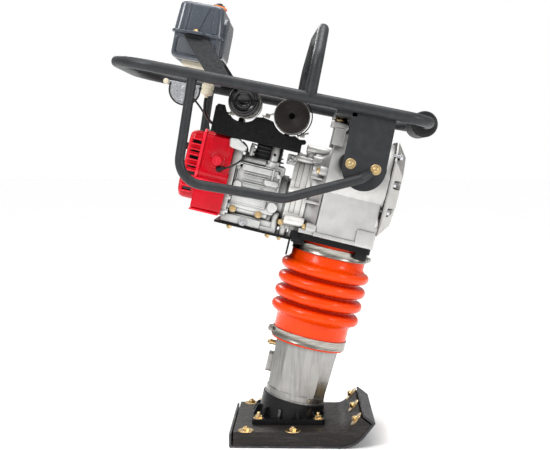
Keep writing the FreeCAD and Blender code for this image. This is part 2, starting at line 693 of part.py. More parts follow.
# ---------------------------------------------------------------- engine
def make_engine():
    block_u = (-268, -148)
    block_v = (-72, 72)
    block_top = 545.0
    case = round_edges(box(block_u, block_v, (430, block_top)), 10, AXIS_X)
    base = box((-266, -130), (-66, 66), (PLATE_TOP, 440))
    adapter = bar(V(block_u[1], 0, ENGINE_AXIS), AXIS_X, 60, 25)
    ribs = []
    for w in (462, 474, 500, 512, 524):
        ribs.append(box((-244, -160), (-76, -70), (w, w + 5)))
    bosses = [bar(V(-163, -80, 525), AXIS_Y, 11, 20), bar(V(-153, -80, 468), AXIS_Y, 11, 20),
              bar(V(-254, -78, 452), AXIS_Y, 9, 20)]
    outer = fuse([case, base, adapter] + ribs + bosses)
    cavity = box((-258, -158), (-60, 60), (440, 534))
    tunnel = bar(V(-270, 0, ENGINE_AXIS), AXIS_X, ENGINE_SHAFT + RUNNING_CLEARANCE, 130)
    mouth = bar(V(block_u[1], 0, ENGINE_AXIS), AXIS_X, 30, 26)
    add("engine_block", BODY, cut(outer, [cavity, tunnel, mouth]))

    head_top = 607.0
    fin_pitch = 8
    fin_gap = 4
    barrel = round_edges(box((-246, -186), (-58, 62), (block_top, head_top)), 8, AXIS_Z)
    fins = []
    for w in range(549, 598, fin_pitch):
        groove = box((-260, -170), (-80, 80), (w, w + fin_gap))
        core = round_edges(box((-232, -200), (-46, 50), (w, w + fin_gap)), 6, AXIS_Z)
        fins.append(groove.cut(core))
    post = turned(V(-172, -56, block_top), AXIS_Z, [(14, 20), (10, 36)])
    foot = box((-190, -152), (-60, 50), (block_top, 562))
    cover = round_edges(box((-267.5, -244), (-98, -50), (560, 598)), 8, AXIS_X)
    add("cylinder_head", BODY, fuse([cut(barrel, fins), post, foot, cover]))

    body = round_edges(box((-228, -196), (62, 112), (556, 590)), 5, AXIS_Y)
    bowl = bar(V(-212, 92, 528), AXIS_Z, 17, 28)
    inlet = bar(V(-238, 100, 572), AXIS_X, 5, 12)
    add("carburettor", BODY, fuse([body, bowl, inlet]))
    spindle = bar(V(-212, 112, 580), AXIS_Y, 3, 8)
    arm = box((-216, -208), (116, 119), (552, 584))
    add("choke_lever", BODY, fuse([spindle, arm]))
    seat("choke_lever", "carburettor")

    plate_thickness = 5.0
    plate_front = -96.0
    plate_low = PLATE_TOP - plate_thickness
    sheet = box((-274, plate_front), (-78, 78), (plate_low, PLATE_TOP))
    drop = box((plate_front - 4, plate_front), (-60, 60), (373, plate_low))
    drop = drop.cut(bar(V(0, 0, 360), AXIS_Z, BELLOWS_NECK + 12.5, 60))
    add("engine_plate", BODY, sheet, drop)
    under = [bolt(V(u, v, plate_low), -AXIS_Z, 8, 22, 1.1)
             for u in (-240, -150) for v in (-52, 52)]
    sides = [bolt(V(u, block_v[0], 447), -AXIS_Y, 7, 10, 1.1) for u in (-240, -180)]
    drain = bolt(V(-211, -66, 423), -AXIS_Y, 8, 14, 1.2)
    add("engine_bolts", BODY, drain, *(under + sides))
    seat("engine_bolts", "engine_plate", "engine_block")


def make_shroud():
    skin = 3.0
    front_u = (-335, -268)
    front_v = (-105, 80)
    front_w = (430, 607)
    corner = 22.0
    outer = round_edges(box(front_u, front_v, front_w), corner, AXIS_X)
    inner = round_edges(box((front_u[0] + skin, front_u[1] + 1), shrunk(front_v, skin),
                            shrunk(front_w, skin)), corner - skin, AXIS_X)
    eye = bar(V(-340, 0, ENGINE_AXIS), AXIS_X, 52, 20)
    stem_radius = 3.0
    stem_hole = bar(V(SWITCH[0], -110, SWITCH[1]), AXIS_Y, stem_radius + RUNNING_CLEARANCE, 12)
    add("fan_shroud", BODY, cut(outer, [inner, eye, stem_hole]))

    rear_u = (-372, -335)
    rear_v = (-72, 66)
    rear_w = (445, 602)
    corner = 24.0
    rear_round = 14.0
    rear = round_edges(box(rear_u, rear_v, rear_w), corner, AXIS_X)
    rear = rear.makeFillet(rear_round, rear_rim(rear, rear_u[0]))
    hollow = round_edges(box((rear_u[0] + skin, rear_u[1] + 1), shrunk(rear_v, skin),
                             shrunk(rear_w, skin)), corner - skin, AXIS_X)
    hollow = hollow.makeFillet(rear_round - skin, rear_rim(hollow, rear_u[0] + skin))
    dome = bar(V(-377, 0, ENGINE_AXIS), AXIS_X, 32, 10)
    shell = fuse([rear, dome]).cut(hollow)
    slot_width = 9
    slots = []
    for low in range(462, 580, 2 * slot_width):
        slots.append(box((-362, -342), (-80, -60), (low, low + slot_width)))
    for side in range(-50, 30, 21):
        slots.append(box((-380, -360), (side, side + slot_width), (535, 585)))
    spindle = bar(V(-377, 0, ENGINE_AXIS), AXIS_X, RECOIL_SPINDLE, 26)
    grip_v = 48.0
    grip_w = 560.0
    hole = bar(V(-380, grip_v, grip_w), AXIS_X, 6, 20)
    add("recoil_cover", BODY, fuse([cut(shell, slots + [hole]), spindle]))

    grip_u = -386.0
    grip_length = 56.0
    grip = bar(V(grip_u, grip_v - grip_length / 2, grip_w), AXIS_Y, 8.5, grip_length)
    stem = bar(V(grip_u, grip_v, grip_w), AXIS_X, 5.5, 22)
    add("starter_grip", BODY, fuse([grip, stem]))

    knob = bar(V(SWITCH[0], -117, SWITCH[1]), AXIS_Y, 12, 11.7)
    stalk = bar(V(SWITCH[0], -106, SWITCH[1]), AXIS_Y, stem_radius, 12)
    finger_bar = box((SWITCH[0] - 2.5, SWITCH[0] + 2.5), (-121, -116),
                     (SWITCH[1] - 11, SWITCH[1] + 11))
    add("stop_switch", BODY, fuse([knob, stalk, finger_bar]))


def shrunk(limits, amount):
    return limits[0] + amount, limits[1] - amount


def rear_rim(shape, u):
    """Edges of a shape that lie in its rearmost face."""
    return [e for e in shape.Edges if e.BoundBox.XMax < u + 0.1]


def make_canisters():
    front = -150.0
    u, w, radius = AIR_CLEANER
    cleaner = turned(V(u, front, w), AXIS_Y, [(17, 4), (27, 7), (radius, 169)])
    add("air_cleaner", BODY, cleaner.cut(bar(V(u, front - 1, w), AXIS_Y, 12, 4)))
    u, w, radius = MUFFLER
    muffler = bar(V(u, front, w), AXIS_Y, radius, 180)
    dimple = Part.makeCone(26, 7, 8, V(u, front, w), AXIS_Y)
    outlet = bar(V(u, front, w), AXIS_Y, 7, 40)
    add("muffler", BODY, cut(muffler, [dimple, outlet]))

    band_width = 10.0
    band_thickness = 2.0
    bands = []
    for (u, w, radius), stations in ((AIR_CLEANER, (-128,)), (MUFFLER, (-138, -96))):
        for v in stations:
            bands.append(ring(V(u, v, w), AXIS_Y, radius + band_thickness, radius, band_width))
    add("canister_bands", BODY, *bands)

    thickness = 3.0
    low = 607.0
    saddle = 640.0
    cradle_u = (-314, -123)
    cradle_v = (-112, 13)
    outline = [(cradle_u[0], low), (-312, 663), (-300, 668), (-246, saddle), (-210, saddle + 10),
               (-180, saddle), (cradle_u[1] - 1, saddle), (cradle_u[1], low)]
    plates = []
    for v in (cradle_v[0], cradle_v[1] - thickness):
        plates.append(prism([V(u, v, w) for u, w in outline], AXIS_Y, thickness))
    tray = box(cradle_u, cradle_v, (low, low + thickness))
    cradle = fuse(plates + [tray])
    for u, w, radius in (AIR_CLEANER, MUFFLER):
        cradle = cradle.cut(bar(V(u, -115, w), AXIS_Y, radius, 150))
    add("canister_bracket", BODY, cradle)


# ---------------------------------------------------------------- handle frame
def make_handle():
    back_bend = 95.0
    front_bend = 58.0
    half = RAIL_HALF_WIDTH
    middle = V(RAIL_BACK, 0, 0)
    front = V(RAIL_FRONT, 0, 0)
    halves = []
    for side in (-1, 1):
        points = [middle, V(RAIL_BACK, side * half, 0), V(RAIL_FRONT, side * half, 0), front]
        halves.append(bent_tube(points, [back_bend, front_bend], RAIL_RADIUS))
    add("handle_loop", HANDLE, fuse(halves))

    roller_half = 75.0
    roller_radius = 29.5
    groove_depth = 2.0
    groove_width = 3.0
    roller = ring(V(RAIL_FRONT, -roller_half, 0), AXIS_Y, roller_radius,
                  RAIL_RADIUS + RUNNING_CLEARANCE, 2 * roller_half)
    grooves = [ring(V(RAIL_FRONT, v, 0), AXIS_Y, 40, roller_radius - groove_depth, groove_width)
               for v in range(-65, 70, 16)]
    add("front_roller", HANDLE, cut(roller, grooves))

    for name, side in (("guard_left", 1), ("guard_right", -1)):
        points = [V(-203, side * half, -4), V(-194, side * 206, -228),
                  V(37, side * 209, -221), V(190, side * 211, -147),
                  V(207, side * 196, -134)]
        guard = bent_tube(points, [52, 60, 12], GUARD_RADIUS)
        rail = bar(V(-300, side * half, 0), AXIS_X, RAIL_RADIUS, 500)
        add(name, HANDLE, guard.cut(rail))

    lift_s = 38.5
    lean = 3.5
    skew = -0.06               # the bar stands slightly turned across the rails
    shoulder = 84.0
    top = 158.0
    top_half = 118.0
    stations = ((-half, 0, 0), (-half, shoulder, 0), (-top_half, top, lean),
                (top_half, top, lean), (half, shoulder, 0), (half, 0, 0))
    points = [V(lift_s + shift + skew * v, v, t) for v, t, shift in stations]
    loop = bent_tube(points, [45, 40, 40, 45], RAIL_RADIUS)
    rails = [bar(V(-100, side * half, 0), AXIS_X, RAIL_RADIUS, 300) for side in (-1, 1)]
    add("lifting_handle", HANDLE, cut(loop, rails))

    plate_s = (146, 240)
    plate_round = 47.0
    plate_low = -126.0
    plates = []
    for side in (-1, 1):
        outline_top = [V(plate_s[0], 0, 0), V(plate_s[1], 0, 0), V(plate_s[1], 0, plate_low),
                       V(plate_s[0], 0, plate_low)]
        end = bar(V(plate_s[0] + plate_round, 0, plate_low), AXIS_Y, plate_round,
                  PLATE_THICKNESS)
        tab = fuse([prism(outline_top, AXIS_Y, PLATE_THICKNESS), end])
        inner = side * PLATE_INNER - (PLATE_THICKNESS if side < 0 else 0)
        tab.translate(V(0, inner, 0))
        rail = bar(V(100, side * half, 0), AXIS_X, RAIL_RADIUS, 200)
        plates.append(tab.cut(rail))

    bridge_s = (112, 156)
    bridge_t = (-20, -12)
    bridge = box(bridge_s, (-half + 4, half - 4), bridge_t)
    rails = [bar(V(0, side * half, 0), AXIS_X, RAIL_RADIUS, 250) for side in (-1, 1)]
    cheek = box((bridge_s[1] - 4, bridge_s[1]), (-50, 50), (-36, bridge_t[1]))
    plates.append(fuse([cut(bridge, rails), cheek]))
    add("mounting_plates", HANDLE, *plates)


def make_isolators():
    """Rubber blocks and bolts that join the handle frame to the crankcase."""
    blocks = []
    bolts = []
    block_start = CASE_TOP_RADIUS + SIDE_BOSS
    for side in (-1, 1):
        for u in ISOLATOR_PLACES:
            start = V(u, side * block_start, ISOLATOR_HEIGHT)
            blocks.append(bar(start, AXIS_Y * side, 24, PLATE_INNER - block_start))
            face = V(u, side * (PLATE_INNER + PLATE_THICKNESS), ISOLATOR_HEIGHT)
            bolts.append(bolt(face, AXIS_Y * side, 8.5, 20, 1.2))
    below_bridge = placed(HANDLE, box((60, 200), (-60, 60), (-60, -20)))
    buffer_block = placed(BODY, bar(V(-46, 0, HEAD_TOP), AXIS_Z, 14, 30)).common(below_bridge)
    blocks = [placed(BODY, block) for block in blocks]
    add("rubber_isolators", GROUND, buffer_block, *blocks)
    bolts = [placed(BODY, fastener) for fastener in bolts]
    tank_bolts = [placed(HANDLE, bolt(V(-227, side * 106.5, 99), AXIS_Z, 6, 11, 1.1))
                  for side in (-1, 1)]
    add("frame_bolts", GROUND, *(bolts + tank_bolts))
    seat("frame_bolts", "rubber_isolators", "mounting_plates", "tank_brackets", "fuel_tank")
    for name in ("guard_left", "guard_right"):
        trim(name, "mounting_plates", "rubber_isolators", "frame_bolts")


def make_tank():
    width = (-TANK_HALF_WIDTH, TANK_HALF_WIDTH)
    seam = 96.0
    tank_top = 166.0
    lower = round_edges(box((-273, -170), width, (36, seam)), 16, AXIS_Y)
    lower = round_edges(lower, 14, AXIS_Z)
    upper_low = rectangle((-276, -169), (-98, 98), seam)
    upper_high = rectangle((-273, -176), (-92, 92), tank_top)
    upper = loft([upper_low, upper_high])
    top_edges = [e for e in upper.Edges
                 if e.BoundBox.ZMin > tank_top - 1 or e.BoundBox.ZLength > 30]
    upper = upper.makeFillet(9, top_edges)
    lip_t = (seam - 4, seam + 3)
    lip = round_edges(box((-280, -165), (-103, 103), lip_t), 14, AXIS_Z)
    ears = box(STRAP_PLACE, (-TANK_EAR, TANK_EAR), lip_t)
    bulge = round_edges(box((-200, -160), (-72, 72), (44, 136)), 12, AXIS_Z)
    bulge = round_edges(bulge, 10, AXIS_Y)
    neck_radius = 17.0
    filler_radius = 13.0
    neck = bar(V(CAP_PLACE, 0, tank_top - 8), AXIS_Z, neck_radius, 10)
    hollow_low = box((-268, -175), (-92, 92), (41, seam + 1))
    hollow_high = loft([rectangle((-271, -174), (-92, 92), seam),
                        rectangle((-268, -181), (-87, 87), tank_top - 5)])
    hollow_side = box((-200, -158), (-67, 67), (49, 131))
    filler = bar(V(CAP_PLACE, 0, tank_top - 18), AXIS_Z, filler_radius, 30)
    shell = cut(fuse([lower, upper, lip, ears, bulge, neck]),
                [hollow_low, hollow_high, hollow_side, filler])
    add("fuel_tank", HANDLE, shell)

    flange_low = tank_top + 2.2
    flange = turned(V(CAP_PLACE, 0, flange_low), AXIS_Z, [(19.5, 6), (14, 3)])
    knob = turned(V(CAP_PLACE, 0, flange_low + 8.8), AXIS_Z, [(9, 4), (6, 3)])
    stopper = bar(V(CAP_PLACE, 0, tank_top - 6), AXIS_Z, filler_radius - 2 * RUNNING_CLEARANCE, 9)
    add("fuel_cap", HANDLE, fuse([flange, stopper, knob]))

    inner, outer = TANK_BRACKET
    strap_top = 91.8
    brackets = []
    for side in (-1, 1):
        low = rectangle((-176, -124), sorted((side * 186, side * 191)), 8)
        high = rectangle(STRAP_PLACE, sorted((side * inner, side * outer)), strap_top - 4)
        strap = loft([low, high])
        tab = box(STRAP_PLACE, sorted((side * TANK_EAR, side * (TANK_HALF_WIDTH + 1))),
                  (strap_top - 4, strap_top))
        rail = bar(V(-300, side * RAIL_HALF_WIDTH, 0), AXIS_X, RAIL_RADIUS, 300)
        brackets.append(fuse([strap, tab]).cut(rail))
    add("tank_brackets", HANDLE, *brackets)
    pad_t = (27, 36)
    pad = round_edges(box((-252, -172), (-60, 60), pad_t), 10, AXIS_Z)
    spout = turned(V(-186, -20, -36), AXIS_Z, [(5, 6), (14, 27), (9, 7), (6, 23)])
    add("fuel_filter", HANDLE, pad, spout)


def rectangle(x, y, height):
    return [V(x[0], y[0], height), V(x[1], y[0], height), V(x[1], y[1], height),
            V(x[0], y[1], height)]


def make_throttle():
    pivot = V(-263, 0, -18)
    pin_radius = 5.0
    disc_v = (172, 176)
    lip_t = -2.0
    base = bar(V(pivot.x, 179, pivot.z), AXIS_Y, 13, 8)
    arm = box((-272, -254), (179, 187), (pivot.z, -4))
    rail = bar(V(-400, RAIL_HALF_WIDTH, 0), AXIS_X, RAIL_RADIUS, 300)
    pin = bar(V(pivot.x, 168, pivot.z), AXIS_Y, pin_radius, 12)
    add("throttle_base", HANDLE, fuse([base, arm, pin]).cut(rail))
    thickness = disc_v[1] - disc_v[0]
    disc = bar(V(pivot.x, disc_v[0], pivot.z), AXIS_Y, LEVER_RADIUS, thickness)
    disc = disc.cut(box((-320, -200), (160, 190), (lip_t, 30)))
    tip = -312.0
    outline = [(-275, -14), (tip, -11), (tip, lip_t), (-270, lip_t)]
    handle = prism([V(s, disc_v[0], t) for s, t in outline], AXIS_Y, thickness)
    knob = bar(V(tip, 166, -6.5), AXIS_Y, 7, 16)
    lever = fuse([disc, handle, knob])
    lever = lever.cut(bar(V(pivot.x, 160, pivot.z), AXIS_Y, pin_radius + RUNNING_CLEARANCE, 40))
    add("throttle_lever", HANDLE, lever)


def at(placement, x, y, z):
    return placement.multVec(V(x, y, z))


def make_cords():
    hose = [at(HANDLE, -186, -20, -36), at(HANDLE, -186, -18, -62), at(BODY, -353, 6, 638),
            at(BODY, -342, 44, 624), at(BODY, -316, 76, 620), at(BODY, -284, 96, 608),
            at(BODY, -258, 100, 584), at(BODY, -238, 100, 572)]
    cord("fuel_hose", hose, 3.5)
    cable = [at(HANDLE, -236, 164, -36), at(HANDLE, -206, 163, -60), at(HANDLE, -184, 160, -95),
             at(BODY, -352, 156, 590), at(BODY, -330, 140, 553), at(BODY, -292, 122, 545),
             at(BODY, -256, 112, 560), at(BODY, -222, 106, 590.5)]
    cord("throttle_cable", cable, 2.5)
    lead = [at(BODY, -284, -105, 529), at(BODY, -272, -117, 533), at(BODY, -254, -118, 546),
            at(BODY, -240, -114, 562), at(BODY, -233, -108, 580), at(BODY, -240, -98, 594),
            at(BODY, -250, -90, 598.5)]
    cord("switch_lead", lead, 2.2)


make_leg()
make_foot()
make_bellows()
make_crankcase()
make_front_cover()
make_clutch_housing()
make_crank_train()
make_engine_train()
make_engine()
make_shroud()
make_canisters()
make_handle()
make_tank()
make_isolators()
make_throttle()
make_cords()

for name, shape in sorted(nodes.items()):
    if not shape.isValid() or not shape.Solids:
        print("INVALID", name)
    shape.exportStep("parts/" + name + ".step")
print(len(nodes), "nodes")
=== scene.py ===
import json
import math
import bmesh
import bpy
from mathutils import Matrix, Vector


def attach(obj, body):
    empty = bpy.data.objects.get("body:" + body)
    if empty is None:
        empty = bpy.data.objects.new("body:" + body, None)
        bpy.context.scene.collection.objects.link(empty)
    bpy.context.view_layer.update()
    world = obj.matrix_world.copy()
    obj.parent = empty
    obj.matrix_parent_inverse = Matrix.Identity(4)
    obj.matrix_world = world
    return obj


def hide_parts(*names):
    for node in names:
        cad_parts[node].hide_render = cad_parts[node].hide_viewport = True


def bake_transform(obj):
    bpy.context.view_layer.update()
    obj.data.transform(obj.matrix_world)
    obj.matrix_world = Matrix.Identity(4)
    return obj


# Looks of the trench rammer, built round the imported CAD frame. Mesh outlines are in millimetres
# in one of three local frames (ground, body, handle), whose axes are called u, v and w. The body
# frame's w runs up the leaning leg, the handle frame's u runs along the rails. Cord routes and
# everything else are in metres.

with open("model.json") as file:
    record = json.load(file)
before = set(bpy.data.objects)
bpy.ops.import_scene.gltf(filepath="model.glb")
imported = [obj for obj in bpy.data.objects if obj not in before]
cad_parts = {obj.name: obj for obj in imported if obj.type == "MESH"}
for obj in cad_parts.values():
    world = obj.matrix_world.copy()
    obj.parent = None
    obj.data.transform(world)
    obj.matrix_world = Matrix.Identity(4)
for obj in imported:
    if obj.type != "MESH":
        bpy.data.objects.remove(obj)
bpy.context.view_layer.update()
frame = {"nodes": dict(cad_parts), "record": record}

MM = 0.001
AXES = {"u": Vector((1, 0, 0)), "v": Vector((0, 1, 0)), "w": Vector((0, 0, 1)),
        "-u": Vector((-1, 0, 0)), "-v": Vector((0, -1, 0)), "-w": Vector((0, 0, -1))}
BOTH_SIDES = ((-1, "-v"), (1, "v"))

# Heights up the leaning body, in millimetres.
BELLOWS_BOTTOM = 178
FLANGE_BOTTOM = 417
FLANGE_TOP = 431
PLATE_BOTTOM = 409
PLATE_TOP = 414

# Other places that several pieces share, in millimetres.
SHOE_TOP = 36.0
TOE_RADIUS = 70.0
BELLOWS_NECK = 86.0
ENGINE_FACE = -70
SWITCH = (-296, 545)
AIR_CLEANER = (-266, 686)
MUFFLER = (-156, 678)
CANISTER_END = -150
BRACKET_FACE = -112
TANK_MIDDLE = 98
TANK_LIP = (92, 99)
CAP_PLACE = -198
THROTTLE_PIVOT = (-263, -18)
THROTTLE_RADIUS = 40
ROLLER_PLACE = 313


def tilted(origin, degrees):
    """A local frame at origin that leans by degrees about Y."""
    return Matrix.Translation(origin) @ Matrix.Rotation(math.radians(degrees), 4, "Y")


GROUND = Matrix.Identity(4)
BODY = tilted((0.004, 0, 0.040), 13.5)
HANDLE = tilted((0, 0, 0.782), 11.3)


# ---------------------------------------------------------------- materials
class Look:
    """A Principled material whose detail comes from noise in the part's own coordinates."""

    def __init__(self, name, colour, roughness, metallic=0.0, edge=0.0):
        self.material = bpy.data.materials.new(name)
        self.material.use_nodes = True
        tree = self.material.node_tree
        self.nodes = tree.nodes
        self.links = tree.links
        self.shader = self.nodes["Principled BSDF"]
        self.set("Base Color", (*colour, 1))
        self.set("Roughness", roughness)
        self.set("Metallic", metallic)
        self.where = self.nodes.new("ShaderNodeTexCoord").outputs["Object"]
        self.normal = None
        if edge:
            soft = self.nodes.new("ShaderNodeBevel")
            soft.samples = 4
            soft.inputs["Radius"].default_value = edge * MM
            self.normal = soft.outputs["Normal"]
            self.links.new(self.normal, self.shader.inputs["Normal"])

    def set(self, socket, value):
        self.shader.inputs[socket].default_value = value
        return self

    def noise(self, scale, detail=3.0, stretch=(1, 1, 1), turn=(0, 0, 0)):
        """Noise with about `scale` features per metre, stretched along the part's axes."""
        mapping = self.nodes.new("ShaderNodeMapping")
        mapping.inputs["Scale"].default_value = stretch
        mapping.inputs["Rotation"].default_value = turn
        texture = self.nodes.new("ShaderNodeTexNoise")
        texture.inputs["Scale"].default_value = scale
        texture.inputs["Detail"].default_value = detail
        self.links.new(self.where, mapping.inputs["Vector"])
        self.links.new(mapping.outputs["Vector"], texture.inputs["Vector"])
        return texture.outputs["Fac"]

    def ranged(self, value, low, high, to_low=0.0, to_high=1.0):
        node = self.nodes.new("ShaderNodeMapRange")
        for socket, number in (("From Min", low), ("From Max", high),
                               ("To Min", to_low), ("To Max", to_high)):
            node.inputs[socket].default_value = number
        self.links.new(value, node.inputs["Value"])
        return node.outputs["Result"]

    def tint(self, value, colour, low, high, amount=1.0):
        """Mix another colour in where value rises from low to high."""
        node = self.nodes.new("ShaderNodeMix")
        node.data_type = "RGBA"
        self.links.new(self.ranged(value, low, high, 0.0, amount), node.inputs["Factor"])
        base = self.shader.inputs["Base Color"]
        if base.is_linked:
            self.links.new(base.links[0].from_socket, node.inputs["A"])
        else:
            node.inputs["A"].default_value = base.default_value
        node.inputs["B"].default_value = (*colour, 1)
        self.links.new(node.outputs["Result"], base)
        return self

    def rough(self, value, low, high, rough_low, rough_high):
        result = self.ranged(value, low, high, rough_low, rough_high)
        self.links.new(result, self.shader.inputs["Roughness"])
        return self

    def bump(self, value, height, strength=1.0):
        """Raise the surface by height millimetres where value is 1."""
        node = self.nodes.new("ShaderNodeBump")
        node.inputs["Distance"].default_value = height * MM
        node.inputs["Strength"].default_value = strength
        self.links.new(value, node.inputs["Height"])
        if self.normal is not None:
            self.links.new(self.normal, node.inputs["Normal"])
        self.normal = node.outputs["Normal"]
        self.links.new(self.normal, self.shader.inputs["Normal"])
        return self

    def painted_shade(self, colour, reach, amount):
        """Painted shade in the corners: the colour turns darker within reach millimetres of other
        faces.
        """
        node = self.nodes.new("ShaderNodeAmbientOcclusion")
        node.samples = 4
        node.inputs["Distance"].default_value = reach * MM
        turned_over = self.ranged(node.outputs["AO"], 0.35, 0.95, 1.0, 0.0)
        return self.tint(turned_over, colour, 0.0, 1.0, amount)


def frame_paint(name, colour):
    look = Look(name, colour, 0.40, edge=0.8)
    look.set("Specular IOR Level", 0.3)
    look.tint(look.noise(60), tuple(1.6 * c for c in colour), 0.45, 0.75, 0.7)
    look.rough(look.noise(140), 0.3, 0.7, 0.36, 0.50)
    return look.bump(look.noise(900, 2), 0.05, 0.5)


def cast_metal(name, colour, dark, grain, metallic=0.8):
    look = Look(name, colour, 0.44, metallic, edge=1.4)
    look.tint(look.noise(35), dark, 0.45, 0.8, 0.5)
    look.tint(look.noise(700, 2), dark, 0.55, 0.8, 0.5)
    look.rough(look.noise(90), 0.3, 0.7, 0.38, 0.56)
    look.bump(look.noise(45, 2), 0.35, 0.35)
    look.bump(look.noise(1300, 2), grain, 0.6)
    # Painted shade: near-black colour within 16 mm of other faces.
    return look.painted_shade((0.02, 0.02, 0.02), 16, 0.85)


def brushed_leg():
    """Leg casting with turning marks that run along the leg."""
    look = Look("leg_aluminium", (0.36, 0.355, 0.34), 0.34, 1.0, edge=1.2)
    lines = look.noise(150, 3, (1, 1, 0.04), BODY.to_euler())
    look.tint(lines, (0.20, 0.195, 0.18), 0.45, 0.75, 0.6)
    look.rough(look.noise(60), 0.3, 0.7, 0.26, 0.40)
    look.bump(lines, 0.05, 0.4)
    # Painted shade: near-black colour within 12 mm of other faces.
    return look.painted_shade((0.02, 0.02, 0.02), 12, 0.6)


def machined_steel(name, colour, rough, dark):
    look = Look(name, colour, rough, 1.0, edge=0.4)
    look.tint(look.noise(120), dark, 0.5, 0.8, 0.6)
    look.rough(look.noise(300), 0.3, 0.7, rough - 0.06, rough + 0.1)
    return look.bump(look.noise(1500, 2), 0.02, 0.4)


def strap_steel():
    look = Look("strap_steel", (0.40, 0.385, 0.35), 0.22, 1.0, edge=0.3)
    look.tint(look.noise(25, 4, (1, 1, 14)), (0.17, 0.15, 0.12), 0.42, 0.7, 0.8)
    look.rough(look.noise(60, 4, (1, 1, 20)), 0.3, 0.7, 0.2, 0.38)
    return look.bump(look.noise(300, 2, (0.2, 0.2, 6)), 0.03, 0.4)


def bellows_rubber():
    look = Look("bellows_rubber", (0.82, 0.054, 0.0), 0.2)
    look.set("Coat Weight", 0.15).set("Coat Roughness", 0.06).set("Specular IOR Level", 0.15)
    look.tint(look.noise(30), (0.68, 0.032, 0.0), 0.45, 0.8, 0.6)
    # Painted shade: deep red in the gaps between the rolls, within 22 mm of other faces.
    look.painted_shade((0.40, 0.002, 0.0), 22, 0.85)
    look.rough(look.noise(160), 0.3, 0.7, 0.18, 0.34)
    look.bump(look.noise(50, 2), 0.25, 0.4)
    return look.bump(look.noise(900, 2), 0.02, 0.4)


def moulded(name, colour, light, rough, coat=0.0, grain=0.03, edge=0.6, shine=0.3):
    look = Look(name, colour, rough, edge=edge)
    look.set("Specular IOR Level", shine)
    if coat:
        look.set("Coat Weight", coat).set("Coat Roughness", 0.08)
    look.tint(look.noise(40), light, 0.5, 0.8, 0.6)
    look.rough(look.noise(200), 0.3, 0.7, max(rough - 0.06, 0.04), rough + 0.08)
    return look.bump(look.noise(1000, 2), grain, 0.5)


def black_coat(name, colour, rough, grain=0.05):
    look = Look(name, colour, rough, edge=0.6)
    look.set("Specular IOR Level", 0.2)
    look.tint(look.noise(70), tuple(1.8 * c for c in colour), 0.5, 0.8, 0.6)
    look.rough(look.noise(200), 0.3, 0.7, rough - 0.08, rough + 0.12)
    return look.bump(look.noise(700, 2), grain, 0.5)


def zinc():
    look = Look("zinc", (0.66, 0.46, 0.20), 0.28, 1.0, edge=0.3)
    look.tint(look.noise(220), (0.72, 0.62, 0.42), 0.45, 0.7, 0.8)
    look.tint(look.noise(90), (0.42, 0.30, 0.22), 0.55, 0.8, 0.6)
    look.rough(look.noise(400), 0.3, 0.7, 0.2, 0.38)
    return look.bump(look.noise(900, 2), 0.03, 0.4)


def shoe_plastic():
    look = Look("shoe_plastic", (0.012, 0.0100, 0.0090), 0.5, edge=0.8)
    look.set("Specular IOR Level", 0.3)
    along = look.noise(16, 5, (1, 14, 14))
    look.tint(along, (0.038, 0.032, 0.028), 0.5, 0.75, 0.8)
    look.tint(look.noise(380, 3), (0.12, 0.105, 0.09), 0.62, 0.8, 0.6)
    look.rough(look.noise(120), 0.3, 0.7, 0.38, 0.62)
    look.bump(along, 0.35, 0.5)
    return look.bump(look.noise(700, 3), 0.08, 0.5)


def worn_steel():
    look = Look("sole_steel", (0.040, 0.040, 0.044), 0.42, 0.5, edge=0.6)
    look.tint(look.noise(45, 5), (0.16, 0.15, 0.14), 0.55, 0.8, 0.7)
    look.rough(look.noise(90), 0.3, 0.7, 0.32, 0.55)
    return look.bump(look.noise(500, 3), 0.06, 0.5)


